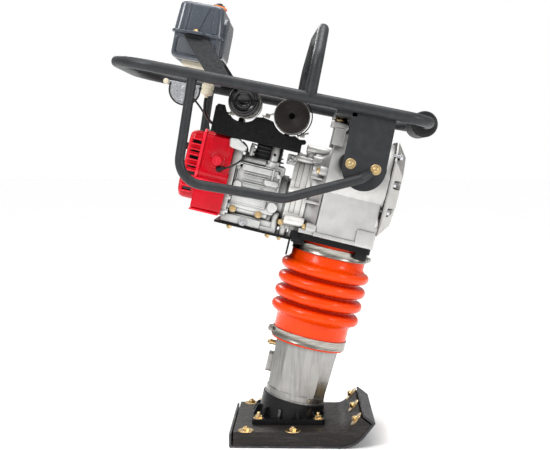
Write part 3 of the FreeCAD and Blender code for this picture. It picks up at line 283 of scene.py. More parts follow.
LOOKS = {
    "frame_paint": frame_paint("frame_paint", (0.019, 0.020, 0.022)),
    "cast_aluminium": cast_metal("cast_aluminium", (0.58, 0.575, 0.56), (0.42, 0.415, 0.40),
                                 0.10),
    "leg_aluminium": brushed_leg(),
    "cover_aluminium": cast_metal("cover_aluminium", (0.47, 0.46, 0.44), (0.32, 0.31, 0.29),
                                  0.08),
    "engine_aluminium": cast_metal("engine_aluminium", (0.74, 0.75, 0.73),
                                   (0.44, 0.45, 0.44), 0.12),
    "clutch_aluminium": cast_metal("clutch_aluminium", (0.78, 0.77, 0.74), (0.55, 0.54, 0.51),
                                   0.08),
    # A near-black copy of the engine aluminium for the cooling fins: painted shade.
    "fin_shade_aluminium": cast_metal("fin_shade_aluminium", (0.10, 0.10, 0.105), (0.04, 0.04, 0.042), 0.12),
    "smooth_aluminium": cast_metal("smooth_aluminium", (0.70, 0.73, 0.70), (0.52, 0.55, 0.52),
                                   0.03),
    # A lighter copy of the red plastic for red parts that catch the light: painted highlight.
    "highlit_red": moulded("highlit_red", (0.74, 0.010, 0.030), (0.80, 0.03, 0.05), 0.22, 0.3),
    "tank_matt": moulded("tank_matt", (0.085, 0.092, 0.105), (0.11, 0.118, 0.132), 0.42),
    "strap_paint": black_coat("strap_paint", (0.005, 0.0055, 0.007), 0.55),
    "machined_steel": machined_steel("machined_steel", (0.58, 0.59, 0.61), 0.30,
                                     (0.34, 0.34, 0.36)),
    "strap_steel": strap_steel(),
    "bellows_rubber": bellows_rubber(),
    "black_rubber": moulded("black_rubber", (0.008, 0.008, 0.009), (0.016, 0.016, 0.017), 0.45),
    "black_steel": black_coat("black_steel", (0.004, 0.004, 0.0045), 0.30),
    "red_plastic": moulded("red_plastic", (0.50, 0.001, 0.010), (0.58, 0.002, 0.014), 0.20, 0.2,
                           shine=0.2),
    "black_plastic": moulded("black_plastic", (0.003, 0.003, 0.0035), (0.007, 0.007, 0.008),
                             0.16, 0.4),
    "muffler_paint": black_coat("muffler_paint", (0.010, 0.0075, 0.0066), 0.52, 0.10),
    "tank_plastic": moulded("tank_plastic", (0.055, 0.064, 0.080), (0.075, 0.086, 0.105),
                            0.22, 0.5),
    "orange_plastic": moulded("orange_plastic", (0.78, 0.19, 0.035), (0.85, 0.26, 0.05), 0.35),
    "filter_plastic": moulded("filter_plastic", (0.66, 0.60, 0.46), (0.74, 0.70, 0.58), 0.36),
    "zinc": zinc(),
    "shoe_plastic": shoe_plastic(),
    "sole_steel": worn_steel(),
    "cast_black": black_coat("cast_black", (0.006, 0.006, 0.007), 0.30, 0.16),
    "spring_steel": machined_steel("spring_steel", (0.25, 0.25, 0.27), 0.35, (0.14, 0.14, 0.15)),
    "bronze": machined_steel("bronze", (0.60, 0.40, 0.20), 0.32, (0.40, 0.26, 0.13)),
    "gasket": moulded("gasket", (0.030, 0.028, 0.026), (0.05, 0.047, 0.043), 0.6),
    "friction_lining": moulded("friction_lining", (0.20, 0.15, 0.10), (0.26, 0.20, 0.14), 0.7),
}

NODE_LOOKS = {"lower_leg": "leg_aluminium", "front_cover": "cover_aluminium"}

for part in frame["record"]["subparts"]:
    mesh = frame["nodes"][part["node"]].data
    mesh.materials.clear()
    look = NODE_LOOKS.get(part["node"], part["material_slot"])
    mesh.materials.append(LOOKS[look].material)


# ---------------------------------------------------------------- mesh helpers
def linked(name, data):
    """A new object in the scene for a mesh, curve, lamp or camera."""
    made = bpy.data.objects.new(name, data)
    bpy.context.scene.collection.objects.link(made)
    return made


def rounded_rectangle(x, y, corner, steps=6):
    """Outline points of a rectangle with round corners, anticlockwise."""
    corner = max(corner, 0.01)
    points = []
    centres = [(x[1] - corner, y[1] - corner, 0), (x[0] + corner, y[1] - corner, 90),
               (x[0] + corner, y[0] + corner, 180), (x[1] - corner, y[0] + corner, 270)]
    for cx, cy, start in centres:
        for step in range(steps + 1):
            angle = math.radians(start + 90 * step / steps)
            points.append((cx + corner * math.cos(angle), cy + corner * math.sin(angle)))
    return points


def rounded_polygon(corners, radius, steps=5):
    """Outline of a polygon whose corners are arcs."""
    points = []
    count = len(corners)
    for index in range(count):
        here = Vector(corners[index])
        back = (Vector(corners[index - 1]) - here).normalized()
        ahead = (Vector(corners[(index + 1) % count]) - here).normalized()
        half = back.angle(ahead) / 2
        reach = radius / math.tan(half)
        centre = here + (back + ahead).normalized() * (radius / math.sin(half))
        first = here + back * reach - centre
        last = here + ahead * reach - centre
        sweep = first.angle_signed(last)
        for step in range(steps + 1):
            turn = Matrix.Rotation(-sweep * step / steps, 2)
            points.append(tuple(centre + turn @ first))
    return points


def arc(centre, radius, start, end, steps=12):
    """Outline points on an arc, from start to end degrees."""
    points = []
    for step in range(steps + 1):
        angle = math.radians(start + (end - start) * step / steps)
        points.append((centre[0] + radius * math.cos(angle), centre[1] + radius * math.sin(angle)))
    return points


def direction(axis):
    """Unit vector of an axis given by its name or as a vector."""
    return AXES[axis] if isinstance(axis, str) else Vector(axis).normalized()


def fluted(centre, radius, flute, count, scale, steps):
    """Outline of a round knob with count flutes, scaled about its centre."""
    points = []
    for step in range(steps):
        angle = math.tau * step / steps
        reach = (radius + flute * math.cos(count * angle)) * scale
        points.append((centre[0] + reach * math.cos(angle), centre[1] + reach * math.sin(angle)))
    return points


def lifted(points, axis, depth):
    """Put a flat outline into the local frame, across the named axis."""
    if axis == "u":
        return [Vector((depth, x, y)) for x, y in points]
    if axis == "v":
        return [Vector((x, depth, y)) for x, y in points]
    return [Vector((x, y, depth)) for x, y in points]


def inset_rings(axis, x, y, corner, stations):
    """Rounded rectangles across axis at each (place, inset) station."""
    rings = []
    for place, inset in stations:
        outline = rounded_rectangle((x[0] + inset, x[1] - inset), (y[0] + inset, y[1] - inset),
                                    corner - inset)
        rings.append(lifted(outline, axis, place))
    return rings


class Piece:
    """One visible piece: closed shells in local millimetres, made into a mesh that rides."""

    def __init__(self, place=BODY):
        self.place = place
        self.mesh = bmesh.new()

    def loft(self, rings, closed=False):
        """Skin a row of outlines with equal point counts, and cap its ends unless closed.
        An end of one point is a pole."""
        rows = [[self.mesh.verts.new(point) for point in ring] for ring in rings]
        pairs = list(zip(rows, rows[1:]))
        if closed:
            pairs.append((rows[-1], rows[0]))
        for low, high in pairs:
            count = max(len(low), len(high))
            for k in range(count):
                near = (k + 1) % count
                corners = [low[k % len(low)], low[near % len(low)],
                           high[near % len(high)], high[k % len(high)]]
                self.mesh.faces.new(list(dict.fromkeys(corners)))
        if not closed:
            for row in (rows[0], rows[-1]):
                if len(row) > 2:
                    self.mesh.faces.new(row)
        return self

    def turned(self, start, axis, profile, steps=48, closed=False):
        """Turn a profile of (distance along the axis, radius) about the axis."""
        axis = direction(axis)
        side = Vector((0, 0, 1)) if abs(axis.z) < 0.9 else Vector((1, 0, 0))
        first = axis.cross(side).normalized()
        second = axis.cross(first)
        start = Vector(start)
        rings = []
        for along, radius in profile:
            ring = [start + axis * along] if radius == 0 else []
            for step in range(steps if radius else 0):
                angle = math.tau * step / steps
                ring.append(start + axis * along
                            + (first * math.cos(angle) + second * math.sin(angle)) * radius)
            rings.append(ring)
        return self.loft(rings, closed)

    def block(self, axis, x, y, depth, corner=2.0, edge=1.0, steps=4, both=False):
        """A rounded block across axis; its edges are round at depth[1], or at both ends."""
        sign = 1 if depth[1] > depth[0] else -1
        quarter = [math.pi / 2 * step / steps for step in range(steps + 1)]
        stations = [(depth[0], 0.0)]
        if both:
            stations = [(depth[0] + sign * edge * (1 - math.cos(angle)),
                         edge * (1 - math.sin(angle))) for angle in quarter]
        stations += [(depth[1] - sign * edge * (1 - math.sin(angle)),
                      edge * (1 - math.cos(angle))) for angle in quarter]
        return self.loft(inset_rings(axis, x, y, corner, stations))

    def rim(self, axis, x, y, depth, width, corner, edge):
        """A raised rounded border of the given width, standing on depth[0]."""
        sign = 1 if depth[1] > depth[0] else -1
        low, high = depth
        stations = [(low, 0), (high - sign * edge, 0), (high, edge), (high, width - edge),
                    (high - sign * edge, width), (low, width)]
        return self.loft(inset_rings(axis, x, y, corner, stations), True)

    def prism(self, outline, axis, depth):
        """An outline carried across axis from one depth to the other."""
        return self.loft([lifted(outline, axis, depth[0]), lifted(outline, axis, depth[1])])

    def hexagon(self, start, axis, radius, height):
        """A bolt head with a chamfered top."""
        profile = [(0, radius), (height * 0.86, radius), (height, radius * 0.86)]
        return self.turned(start, axis, profile, 6)

    def bolt(self, face, axis, size, shank, washer, nut=0.0):
        """A flanged bolt seated on a face; nut is how far a stud stands out of it."""
        axis = direction(axis)
        face = Vector(face)
        thick = size * 0.2
        rim = size * washer
        self.turned(face - axis * shank, axis, [(0, size * 0.45), (shank, size * 0.45)], 24)
        self.turned(face, axis, [(0, rim), (thick * 0.7, rim), (thick, rim - thick * 0.4)], 40)
        head = face + axis * (thick - 0.01)
        self.hexagon(head, axis, size * 0.85, size * 0.6)
        top = head + axis * (size * 0.6 - 0.01)
        if nut:
            thread = [(0, size * 0.42), (nut * 0.8, size * 0.42), (nut, size * 0.32)]
            self.turned(top, axis, thread, 20)
        else:
            self.turned(top, axis, [(0, size * 0.5), (size * 0.05, size * 0.42)], 24)
        return self

    def make(self, name, slot, body="housing", sharp=32, bevel=0.0, replaces=(), look=None):
        """Finish the mesh in metres, give it its look and let it ride on its body."""
        scale = Matrix.Scale(MM, 4)
        bmesh.ops.recalc_face_normals(self.mesh, faces=self.mesh.faces)
        self.mesh.transform(self.place @ scale)
        limit = math.radians(sharp)
        for edge in self.mesh.edges:
            edge.smooth = edge.calc_face_angle(0) < limit
        for face in self.mesh.faces:
            face.smooth = True
        data = bpy.data.meshes.new(name)
        self.mesh.to_mesh(data)
        self.mesh.free()
        data.materials.append(LOOKS[look or slot].material)
        made = linked(name, data)
        if bevel:
            modifier = made.modifiers.new("edges", "BEVEL")
            modifier.width = bevel * MM
            modifier.segments = 3
            modifier.limit_method = "ANGLE"
            modifier.angle_limit = math.radians(30)
            modifier.harden_normals = True
        if body:
            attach(made, body)
        if replaces:
            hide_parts(*replaces)
        return made


# ---------------------------------------------------------------- leg and foot
def make_bellows():
    neck = BELLOWS_NECK
    valley = 84.0
    crest = 104.0
    roll = 12.5
    pitch = 33.5
    first = 253.0
    rolls = 4
    wall = 3.0
    fillet = pitch / 2 - roll

    def outline(shift):
        """Radius and height along one side of the skin, moved inward by shift."""
        points = [(BELLOWS_BOTTOM, neck - shift), (first - roll - 8, neck - shift)]
        for index in range(rolls):
            centre = first + index * pitch
            middle = crest - roll
            for step in range(13):
                angle = math.radians(-90 + 180 * step / 12)
                points.append((centre + (roll - shift) * math.sin(angle),
                               middle + (roll - shift) * math.cos(angle)))
            if index < rolls - 1:
                for step in (0.25, 0.5, 0.75):
                    points.append((centre + roll + 2 * fillet * step,
                                   valley - shift + 2.5 * (2 * step - 1) ** 2))
        points.append((first + (rolls - 1) * pitch + roll + 8, neck - shift))
        points.append((FLANGE_BOTTOM, neck - shift))
        return points

    skin = Piece()
    profile = outline(0) + outline(wall)[::-1]
    skin.turned((0, 0, 0), "w", profile, 160, True)
    made = skin.make("bellows_skin", "bellows_rubber", None, 60, replaces=("bellows",))
    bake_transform(made)


def strap_clamp(piece, low, radius, width, screw_angle):
    """A worm-drive strap with rolled edges, its housing and its slotted screw."""
    band = 1.8
    rolled = 0.6
    profile = [(low, radius - 0.2), (low, radius + band + rolled),
               (low + 1.5, radius + band + rolled), (low + 2.5, radius + band),
               (low + width - 2.5, radius + band), (low + width - 1.5, radius + band + rolled),
               (low + width, radius + band + rolled), (low + width, radius - 0.2)]
    piece.turned((0, 0, 0), "w", profile, 96, True)
    turn = Matrix.Rotation(math.radians(screw_angle), 4, "Z")
    part = Piece(piece.place @ turn)
    centre = low + width / 2
    out = radius + 6.5
    part.block("u", (-12, 12), (centre - 8, centre + 8), (radius, radius + 4), 2, 1.2)
    part.block("v", (radius + 1, radius + 12), (centre - 6.5, centre + 6.5), (-11, 11), 5, 1, both=True)
    part.turned((out, -22, centre), "v", [(0, 0), (0, 4.4), (1, 5), (7, 5), (7, 3.6),
                                                (44, 3.6), (44, 0)], 24)
    part.block("v", (out - 0.8, out + 0.8), (centre - 5, centre + 5), (-22.8, -20), 0.4, 0.2)
    part.mesh.transform(turn)
    joined = bpy.data.meshes.new("joined")
    part.mesh.to_mesh(joined)
    part.mesh.free()
    piece.mesh.from_mesh(joined)
    bpy.data.meshes.remove(joined)
    return piece


def make_clamps():
    for name, low, angle, body in (("lower", BELLOWS_BOTTOM + 4, 180, "leg"),
                                   ("upper", FLANGE_BOTTOM - 26, -20, "housing")):
        piece = strap_clamp(Piece(), low, BELLOWS_NECK, 20, angle)
        piece.make(name + "_strap", "strap_steel", body, replaces=(name + "_clamp",))


def make_foot_bolts():
    shoe = Piece(GROUND)
    for x in (-92, 13):
        for y in (-129, 129):
            shoe.bolt((x, y, SHOE_TOP), "w", 9.5, 24, 1.9, nut=3)
    toe = math.radians(52)
    toe_along = Vector((math.cos(toe), 0, math.sin(toe)))
    toe_up = Vector((-math.sin(toe), 0, math.cos(toe)))
    inner = TOE_RADIUS - SHOE_TOP
    bend_end = Vector((118 + inner * math.sin(toe), 0, TOE_RADIUS - inner * math.cos(toe)))
    for y in (-122, 0, 122):
        shoe.bolt(bend_end + toe_along * 16 + Vector((0, y, 0)), toe_up, 9.5, 24, 1.9, nut=3)
    shoe.make("shoe_nuts", "zinc", "leg", replaces=("shoe_bolts",))

    mount = Piece(GROUND)
    for x in (-66, 70):
        for y in (-66, 66):
            mount.bolt((x, y, SHOE_TOP + 12), "w", 10, 30, 1.3, nut=7)
    mount.make("mount_nuts", "zinc", "leg", replaces=("foot_fasteners",))
    plug = Piece()
    plug.turned((-88, 0, 159), "u", [(0, 0), (0, 5.2), (1.5, 6.4), (5, 6.4), (5, 6), (20, 6),
                                           (20, 0)], 32)
    plug.hexagon((-92, 0, 159), "u", 4.2, 5)
    plug.make("leg_plug", "zinc", "leg")


def make_cover_bolts():
    cover = Piece()
    for w in (521, 584.5, 648):
        for side in (-1, 1):
            cover.bolt((99, side * 86, w), "u", 8, 14, 1.05)
    cover.make("cover_screws", "machined_steel", replaces=("cover_bolts",))


def make_engine_bolts():
    engine = Piece()
    for u in (-240, -150):
        for v in (-52, 52):
            engine.bolt((u, v, PLATE_BOTTOM), "-w", 8, 22, 1.1, nut=3)
    for u in (-240, -180):
        engine.bolt((u, -72, 447), "-v", 7, 10, 1.1)
    engine.bolt((-123, -52, PLATE_BOTTOM), "-w", 7, 4, 1.1, nut=3)
    for u, w in ((-73, 577), (-76, 446)):
        engine.bolt((u + 5, -84, w), "-u", 8, 20, 1.15)
    engine.bolt((-127, -74, 443), "-v", 6, 8, 1.1)
    engine.make("engine_screws", "zinc", replaces=("engine_bolts",))
    drain = Piece()
    drain.turned((-211, -80, 423), "v", [(0, 0), (0, 4), (1.5, 5.5), (4, 5.5), (4, 9),
                                               (6, 9.6), (10, 9.6), (10, 4), (20, 4), (20, 0)])
    drain.make("drain_plug", "machined_steel", replaces=("engine_bolts",))


def make_frame_bolts():
    body_frame = Piece()
    for side, outward in BOTH_SIDES:
        for u in (-10, 45):
            body_frame.bolt((u, side * 196, 607), outward, 8.5, 20, 1.35)
    body_frame.make("plate_bolts", "zinc", replaces=("frame_bolts",))
    tank = Piece(HANDLE)
    for side in (-1, 1):
        tank.bolt((-227, side * 106.5, TANK_LIP[1]), "w", 6, 9, 1.1)
    tank.make("tank_bolts", "zinc", replaces=("frame_bolts",))


# ---------------------------------------------------------------- engine
def make_engine_casting():
    case = Piece()
    case.block("v", (-254, -148), (452, 545), (66, -72), 6, 2)
    case.block("v", (-258, -152), (432, 456), (58, -60), 4, 1)
    case.block("w", (-264, -134), (-70, 66), (PLATE_TOP, 424), 3, 1)
    case.block("w", (-258, -138), (-66, 62), (422, 438), 6, 3)
    case.block("v", (-262, -172), (415, 434), (-60, -73), 3, 1.5)
    case.turned((-150, 0, 485), "u", [(0, 62), (18, 62), (18, 58), (27, 58)], 64)
    case.turned((-250, -50, 452), "u", [(0, 0), (0, 15), (2, 17), (88, 17), (90, 15), (90, 0)])
    case.block("v", (-250, -168), (461, 482), (ENGINE_FACE, -75.5), 5, 1.6)
    case.rim("v", (-248, -170), (463, 480), (-75, -76.6), 2, 4, 0.7)
    case.rim("v", (-248, -150), (489, 556), (ENGINE_FACE, -75), 2.5, 5, 1.0)
    case.block("v", (-240, -156), (538, 552), (ENGINE_FACE, -73.6), 4, 1)
    for w in (497, 514.5, 532):
        for shift in (-2.6, 2.6):
            case.block("v", (-233, -178), (w + shift - 1, w + shift + 1), (ENGINE_FACE, -75), 1, 0.8)
    case.block("v", (-184, -151), (516, 528), (ENGINE_FACE, -80), 6, 2)
    case.rim("v", (-186, -149), (514, 530), (ENGINE_FACE, -77), 2, 7, 0.8)
    case.block("v", (-170, -166), (530, 554), (ENGINE_FACE, -76), 1.5, 1)
    bosses = ((-153, 470, 11.5, 82), (-242, 503, 10, 77), (-254, 452, 7, 76), (-240, 447, 8.5, 72),
              (-180, 447, 8.5, 72), (-155, 541, 5, 78), (-249, 543, 5, 77), (-186, 500, 5, 77),
              (-160, 497, 6, 79))
    for u, w, radius, reach in bosses:
        case.turned((u, -reach, w), "v", [(0, 0), (0, radius - 1.5), (0.6, radius - 0.5),
                                                (2, radius), (20, radius + 0.6)], 32)
    for v in (-62, 50):
        case.turned((-141, v, PLATE_TOP), "w", [(0, 8), (44, 8), (47, 6), (47, 0)], 24)
    case.make("engine_casting", "engine_aluminium", sharp=40, bevel=0.5,
              replaces=("engine_block",))

    plate = Piece()
    plate.block("u", (-82, 76), (426, 566), (-268, -254), 14, 1.5, both=True)
    for v, w in ((-76, 440), (-76, 470), (-76, 555)):
        plate.turned((-271, v, w), "u", [(0, 0), (0, 5), (1, 6), (22, 6)], 24)
    plate.make("flywheel_plate", "engine_aluminium", look="smooth_aluminium", sharp=40, bevel=0.4)


def make_cylinder():
    head = Piece()
    head.block("v", (-190, -145), (543, 563), (48, -66), 4, 2)
    head.block("w", (-188, -160), (-64, -44), (560, 572), 4, 1.5)
    head.turned((-175, -56, 545), "w", [(0, 13), (24, 12.4), (28, 9.6), (60, 9), (66, 8.4),
                                              (68, 6.5), (68, 0)], 40)
    cover = [(-280, 603), (-260, 605), (-236, 589), (-241, 577), (-276, 581)]
    outline = rounded_polygon(cover, 6)
    rings = [lifted(outline, "v", -84), lifted(outline, "v", -107)]
    middle = Vector((-259, -109.5, 591))
    rings.append([middle + (point - middle) * 0.86 for point in rings[1]])
    for point in rings[2]:
        point.y = -109.5
    head.loft(rings)
    head.block("v", (-266, -246), (545, 582), (-60, -84), 4, 1.5)
    head.turned((-250, -58, 562), "u", [(0, 0), (0, 9), (2, 10), (58, 10), (60, 9), (60, 0)])
    head.turned((-228, -62, 574), "w", [(0, 5), (20, 5), (21, 4), (28, 4), (28, 0)], 24)
    head.block("v", (-146, -122), (574, 598), (-10, -48), 3, 2)
    for u, w in ((-142, 580), (-135, 592), (-127, 580), (-129, 590), (-139, 585)):
        head.turned((u, -51.5, w), "v", [(0, 0), (0, 2.4), (1, 3.4), (6, 3.6)], 20)
    head.block("w", (-246, -186), (-58, 62), (545, 550), 8, 1)
    head.make("head_casting", "engine_aluminium", sharp=40, bevel=0.5, replaces=("cylinder_head",))

    # The fins and the core block behind them take the near-black aluminium: painted shade over the
    # finned head.
    fins = Piece()
    for step in range(5):
        w = 562 + 9 * step
        fins.block("w", (-226, -150 - 3 * step), (-46, 56), (w, w + 3), 8, 0.6, both=True)
    fins.block("w", (-220, -160), (-40, 50), (546, 604), 8, 1)
    fins.make("cooling_fins", "engine_aluminium", look="fin_shade_aluminium")
    # A black disc stands in for the hole in the post: painted shade.
    hole = Piece()
    hole.turned((-175, -66, 587), "v", [(0, 0), (0, 3.2), (4, 3.2), (4, 0)], 24)
    hole.make("post_hole_shade", "black_rubber")


def make_shroud():
    shell = Piece()
    shell.block("u", (-103, 80), (496, 606), (-266, -336), 18, 6, steps=6)
    shell.block("u", (-100, 76), (428, 520), (-264, -333), 8, 4)
    shell.turned((-296, -106, 545), "v", [(0, 0), (0, 15), (1, 17), (3, 19), (8, 19)], 40)
    shell.block("v", (-322, -272), (556, 598), (-100, -104.6), 8, 2.5)
    for w, v in ((600, -60), (600, 40), (432, -60), (432, 40)):
        shell.turned((-272, v, w), "u", [(0, 6), (8, 6)], 20)
    shell.make("shroud_shell", "red_plastic", sharp=50, replaces=("fan_shroud",))
    # The seam flange and edge strips take the lighter red copy: painted highlight along the seam.
    seam = Piece()
    seam.rim("u", (-107, 83), (494, 609), (-332, -338), 6, 20, 1.2)
    seam.block("v", (-336, -268), (494.5, 499), (-98, -107), 1.5, 1)
    seam.block("u", (-104, 80), (425, 429), (-268, -334), 1.5, 1, both=True)
    seam.make("shroud_seam", "red_plastic", look="highlit_red")


def make_recoil_cover():
    lining = Piece()
    outer = rounded_rectangle((-68, 62), (449, 598), 20)
    inner = rounded_rectangle((-66.5, 60.5), (450.5, 596.5), 19)
    lining.loft([lifted(outer, "u", -366), lifted(outer, "u", -337), lifted(inner, "u", -337),
                 lifted(inner, "u", -366)], True)
    lining.make("recoil_lining", "black_plastic")

    cover = Piece()
    for side in (-72.6, 66.6):
        for w in range(462, 592, 12):
            out = side - 2.2 if side < 0 else side + 2.2
            cover.block("v", (-369, -341), (w - 1.7, w + 1.7), (side * 0.96, out), 1.6, 1)
    cover.rim("u", (-70, 64), (447, 600), (-362, -368), 5, 22, 1.5)
    for step in range(24):
        angle = math.tau * step / 24
        low = Vector((-367, -3, 525)) + Vector((0, math.cos(angle), math.sin(angle))) * 33
        cover.turned(low, Vector((-0.1, math.cos(angle), math.sin(angle))),
                     [(0, 0), (0, 1.6), (22, 1.6), (22, 0)], 10)
    # The rim, vent ribs and spokes take the lighter red copy: painted highlight.
    cover.make("recoil_ribs", "red_plastic", look="highlit_red")


def make_stop_switch():
    knob = Piece()
    knob.loft([lifted(fluted(SWITCH, 11.3, 0.7, 16, scale, 96), "v", depth)
               for depth, scale in ((-106.5, 1), (-115, 1), (-117, 0.88))])
    knob.block("v", (SWITCH[0] - 2.6, SWITCH[0] + 2.6), (SWITCH[1] - 10, SWITCH[1] + 10),
               (-116, -121), 2, 1.4)
    knob.turned((SWITCH[0], -107, SWITCH[1]), "v", [(0, 3), (12, 3)], 24)
    # The knob takes the lighter red copy: painted highlight.
    knob.make("switch_knob", "red_plastic", "switch", look="highlit_red",
              replaces=("stop_switch",))

    boot = Piece()
    boot.turned((-290, -103, 527), Vector((14, -11, 6)),
                [(0, 7), (6, 7), (8, 5.4), (10, 5.4), (11, 4.6), (13, 4.6), (14, 4), (20, 2.6)], 32)
    boot.make("lead_boot", "black_rubber")


def make_canisters():
    u, w = AIR_CLEANER
    cleaner = Piece()
    cleaner.turned((u, CANISTER_END, w), "v",
                   [(3, 0), (3, 9.5), (1.2, 11.5), (0, 13), (0, 15.5), (1.2, 17), (4.2, 17.6),
                    (4.2, 21.5), (2.8, 23), (2.8, 25.2), (4.5, 27), (9, 27.6), (10.5, 29),
                    (10.5, 31), (12, 33), (15, 34), (26, 34), (27, 33), (31, 33), (32, 34),
                    (90, 34), (91, 33), (95, 33), (96, 34), (176, 34), (180, 31), (180, 0)], 96)
    cleaner.make("cleaner_canister", "black_plastic", sharp=50, replaces=("air_cleaner",))

    u, w = MUFFLER
    muffler = Piece()
    muffler.turned((u, CANISTER_END, w), "v",
                   [(30, 0), (30, 6.4), (4.5, 6.6), (3.2, 8.5), (0.7, 24), (0, 27), (0, 34.6),
                    (0.8, 36.4), (2.6, 37.5), (30, 37.5), (31, 36.9), (34, 36.9), (35, 37.5),
                    (176, 37.5), (180, 33), (180, 0)], 96)
    muffler.make("muffler_can", "muffler_paint", sharp=50, replaces=("muffler",))


def make_canister_bands():
    bands = Piece()
    for (u, w), radius, start in ((AIR_CLEANER, 34, -112), (MUFFLER, 37.5, -134),
                                  (MUFFLER, 37.5, -98)):
        bands.turned((u, start, w), "v",
                     [(0, radius - 0.2), (0, radius + 2.4), (1.6, radius + 1.6),
                      (8.4, radius + 1.6), (10, radius + 2.4), (10, radius - 0.2)], 80, True)
    for u, w, v in ((-287, 656, -108), (-208, 667, -130), (-124, 643, -130)):
        bands.block("v", (u - 5, u + 5), (w - 5, w + 5), (v + 9, v - 1), 2, 1, both=True)
        bands.turned((u - 11, v + 4, w - 4), Vector((1, 0, 0.5)), [(0, 0), (0, 3.4), (3, 3.4),
                                                                   (3, 2), (26, 2), (26, 0)], 16)
    bands.make("canister_straps", "strap_steel", replaces=("canister_bands",))

    hoop = Piece()
    outline = arc(MUFFLER, 45.5, -62, 50, 20) + arc(MUFFLER, 43, 50, -62, 20)
    hoop.prism(outline, "v", (-140, -132))
    hoop.make("muffler_hoop", "black_steel", bevel=0.5)


def make_cradle():
    """The cut sheet brackets that carry both canisters, and their screws."""
    thickness = 3.0
    cradle = Piece()
    outline = [(-325, 606), (-326, 662), (-321, 669), (-306, 669), (-300, 657)]
    outline += arc(AIR_CLEANER, 45, 222, 306, 12)
    outline += [(-233, 659), (-216, 662)]
    outline += arc(MUFFLER, 42.5, 208, 292, 14)
    outline += [(-128, 633), (-116, 635), (-114, 626), (-121, 622), (-120, 604), (-282, 604)]
    cradle.prism(outline, "v", (BRACKET_FACE, BRACKET_FACE + thickness))
    rear = [(-314, 606), (-313, 640)] + arc(AIR_CLEANER, 47, 222, 306, 12)
    rear += arc(MUFFLER, 45, 208, 292, 14) + [(-123, 630), (-123, 606)]
    cradle.prism(rear, "v", (10, 10 + thickness))
    cradle.block("v", (-314, -123), (604, 604 + thickness), (13, -111), 1, 0.5)
    for u, top in ((-268, 651), (-160, 640)):
        cradle.block("v", (u - 6, u + 6), (604, top), (6, -60), 3, 1)
    cradle.make("canister_cradle", "black_steel", bevel=0.7, replaces=("canister_bracket",))
    screws = Piece()
    for u, w, size in ((-313, 660, 5), (-118, 629, 4.5), (-140, 612, 4.5), (-300, 615, 4.5)):
        screws.bolt((u, BRACKET_FACE, w), "-v", size, 4, 1.2)
    screws.make("cradle_screws", "black_steel")


# ---------------------------------------------------------------- clutch housing and crankcase
def clutch_outline(grow):
    """Outline across the engine shaft: flat sides under a round top, over a flat foot."""
    side = 70 + grow
    top = 553
    shoulder = arc((0, top), 54 + grow, 24, 156, 24)
    return ([(side, FLANGE_TOP), (side, 540)] + shoulder
            + [(-side, 540), (-side, FLANGE_TOP)])


def make_clutch_housing():
    casting = Piece()
    for grow, depth in ((0, (-126, -116)), (-2, (-116, -104)), (0, (-104, -90)), (3, (-90, -81))):
        casting.prism(clutch_outline(grow), "u", depth)
    casting.turned((-108, -30, 619), "u", [(0, 0), (0, 8), (1.5, 9.5), (58, 9.5)], 40)
    casting.block("v", (-106, -80), (588, 617), (28, -36), 5, 3)
    casting.turned((-93, -40, 600), "v", [(0, 0), (0, 8), (2, 10), (10, 10)], 32)
    for v, w in ((-66, 520), (-66, 462), (-40, 592), (66, 520), (66, 462), (40, 592)):
        casting.turned((-127, v, w), "u", [(0, 0), (0, 6), (1.5, 7.5), (40, 7.5)], 28)
    for v in (-60, 60):
        casting.turned((-118, v, PLATE_TOP), "w", [(0, 9), (34, 9)], 32)
        casting.turned((-100, v, PLATE_TOP), "w", [(0, 6.5), (20, 6.5)], 6)
    casting.turned((-122, -76, 452), "u", [(0, 0), (0, 9), (2, 11), (46, 12)], 40)
    casting.make("clutch_casting", "cast_aluminium", look="clutch_aluminium", sharp=40,
                 bevel=1.2, replaces=("clutch_housing",))


def make_case_details():
    throat = Piece()
    rings = []
    for step in range(9):
        swell = (step / 8) ** 2.2
        u = -84 + 34 * step / 8
        outline = rounded_rectangle((-68 - 23 * swell, 68 + 23 * swell),
                                    (440 - 7 * swell, 585 + 50 * swell), 22)
        rings.append(lifted(outline, "u", u))
    throat.loft(rings)
    throat.turned((-88, -40, 596), "u", [(0, 12), (14, 12), (24, 17), (40, 26)], 40)
    for v in (-82, 82):
        for w in (577, 446):
            throat.turned((-70, v, w), "u", [(0, 0), (0, 9), (1.5, 11), (24, 12)], 32)
    throat.block("v", (-84, -48), (500, 506), (-60, -88), 2, 1.5)
    throat.block("v", (-84, -48), (556, 561), (-60, -86), 2, 1.5)
    throat.block("v", (44, 86), (433, 470), (-80, -95.5), 4, 2.5)
    throat.block("v", (-50, 86), (431, 441), (80, -94.5), 2, 2)
    throat.block("v", (-84, -48), (431, 441), (80, -90), 2, 2)
    for v in (-88, 88):
        throat.block("u", (v - 4, v + 4), (640, 680), (-57, -32), 2, 1)
    throat.block("v", (-66, -27), (682, 694), (26, -27.6), 3, 1.5)
    throat.rim("v", (-57, -32), (640, 678), (-19, -22.5), 3, 4, 1)
    throat.make("case_throat", "cast_aluminium", sharp=40, bevel=0.8)


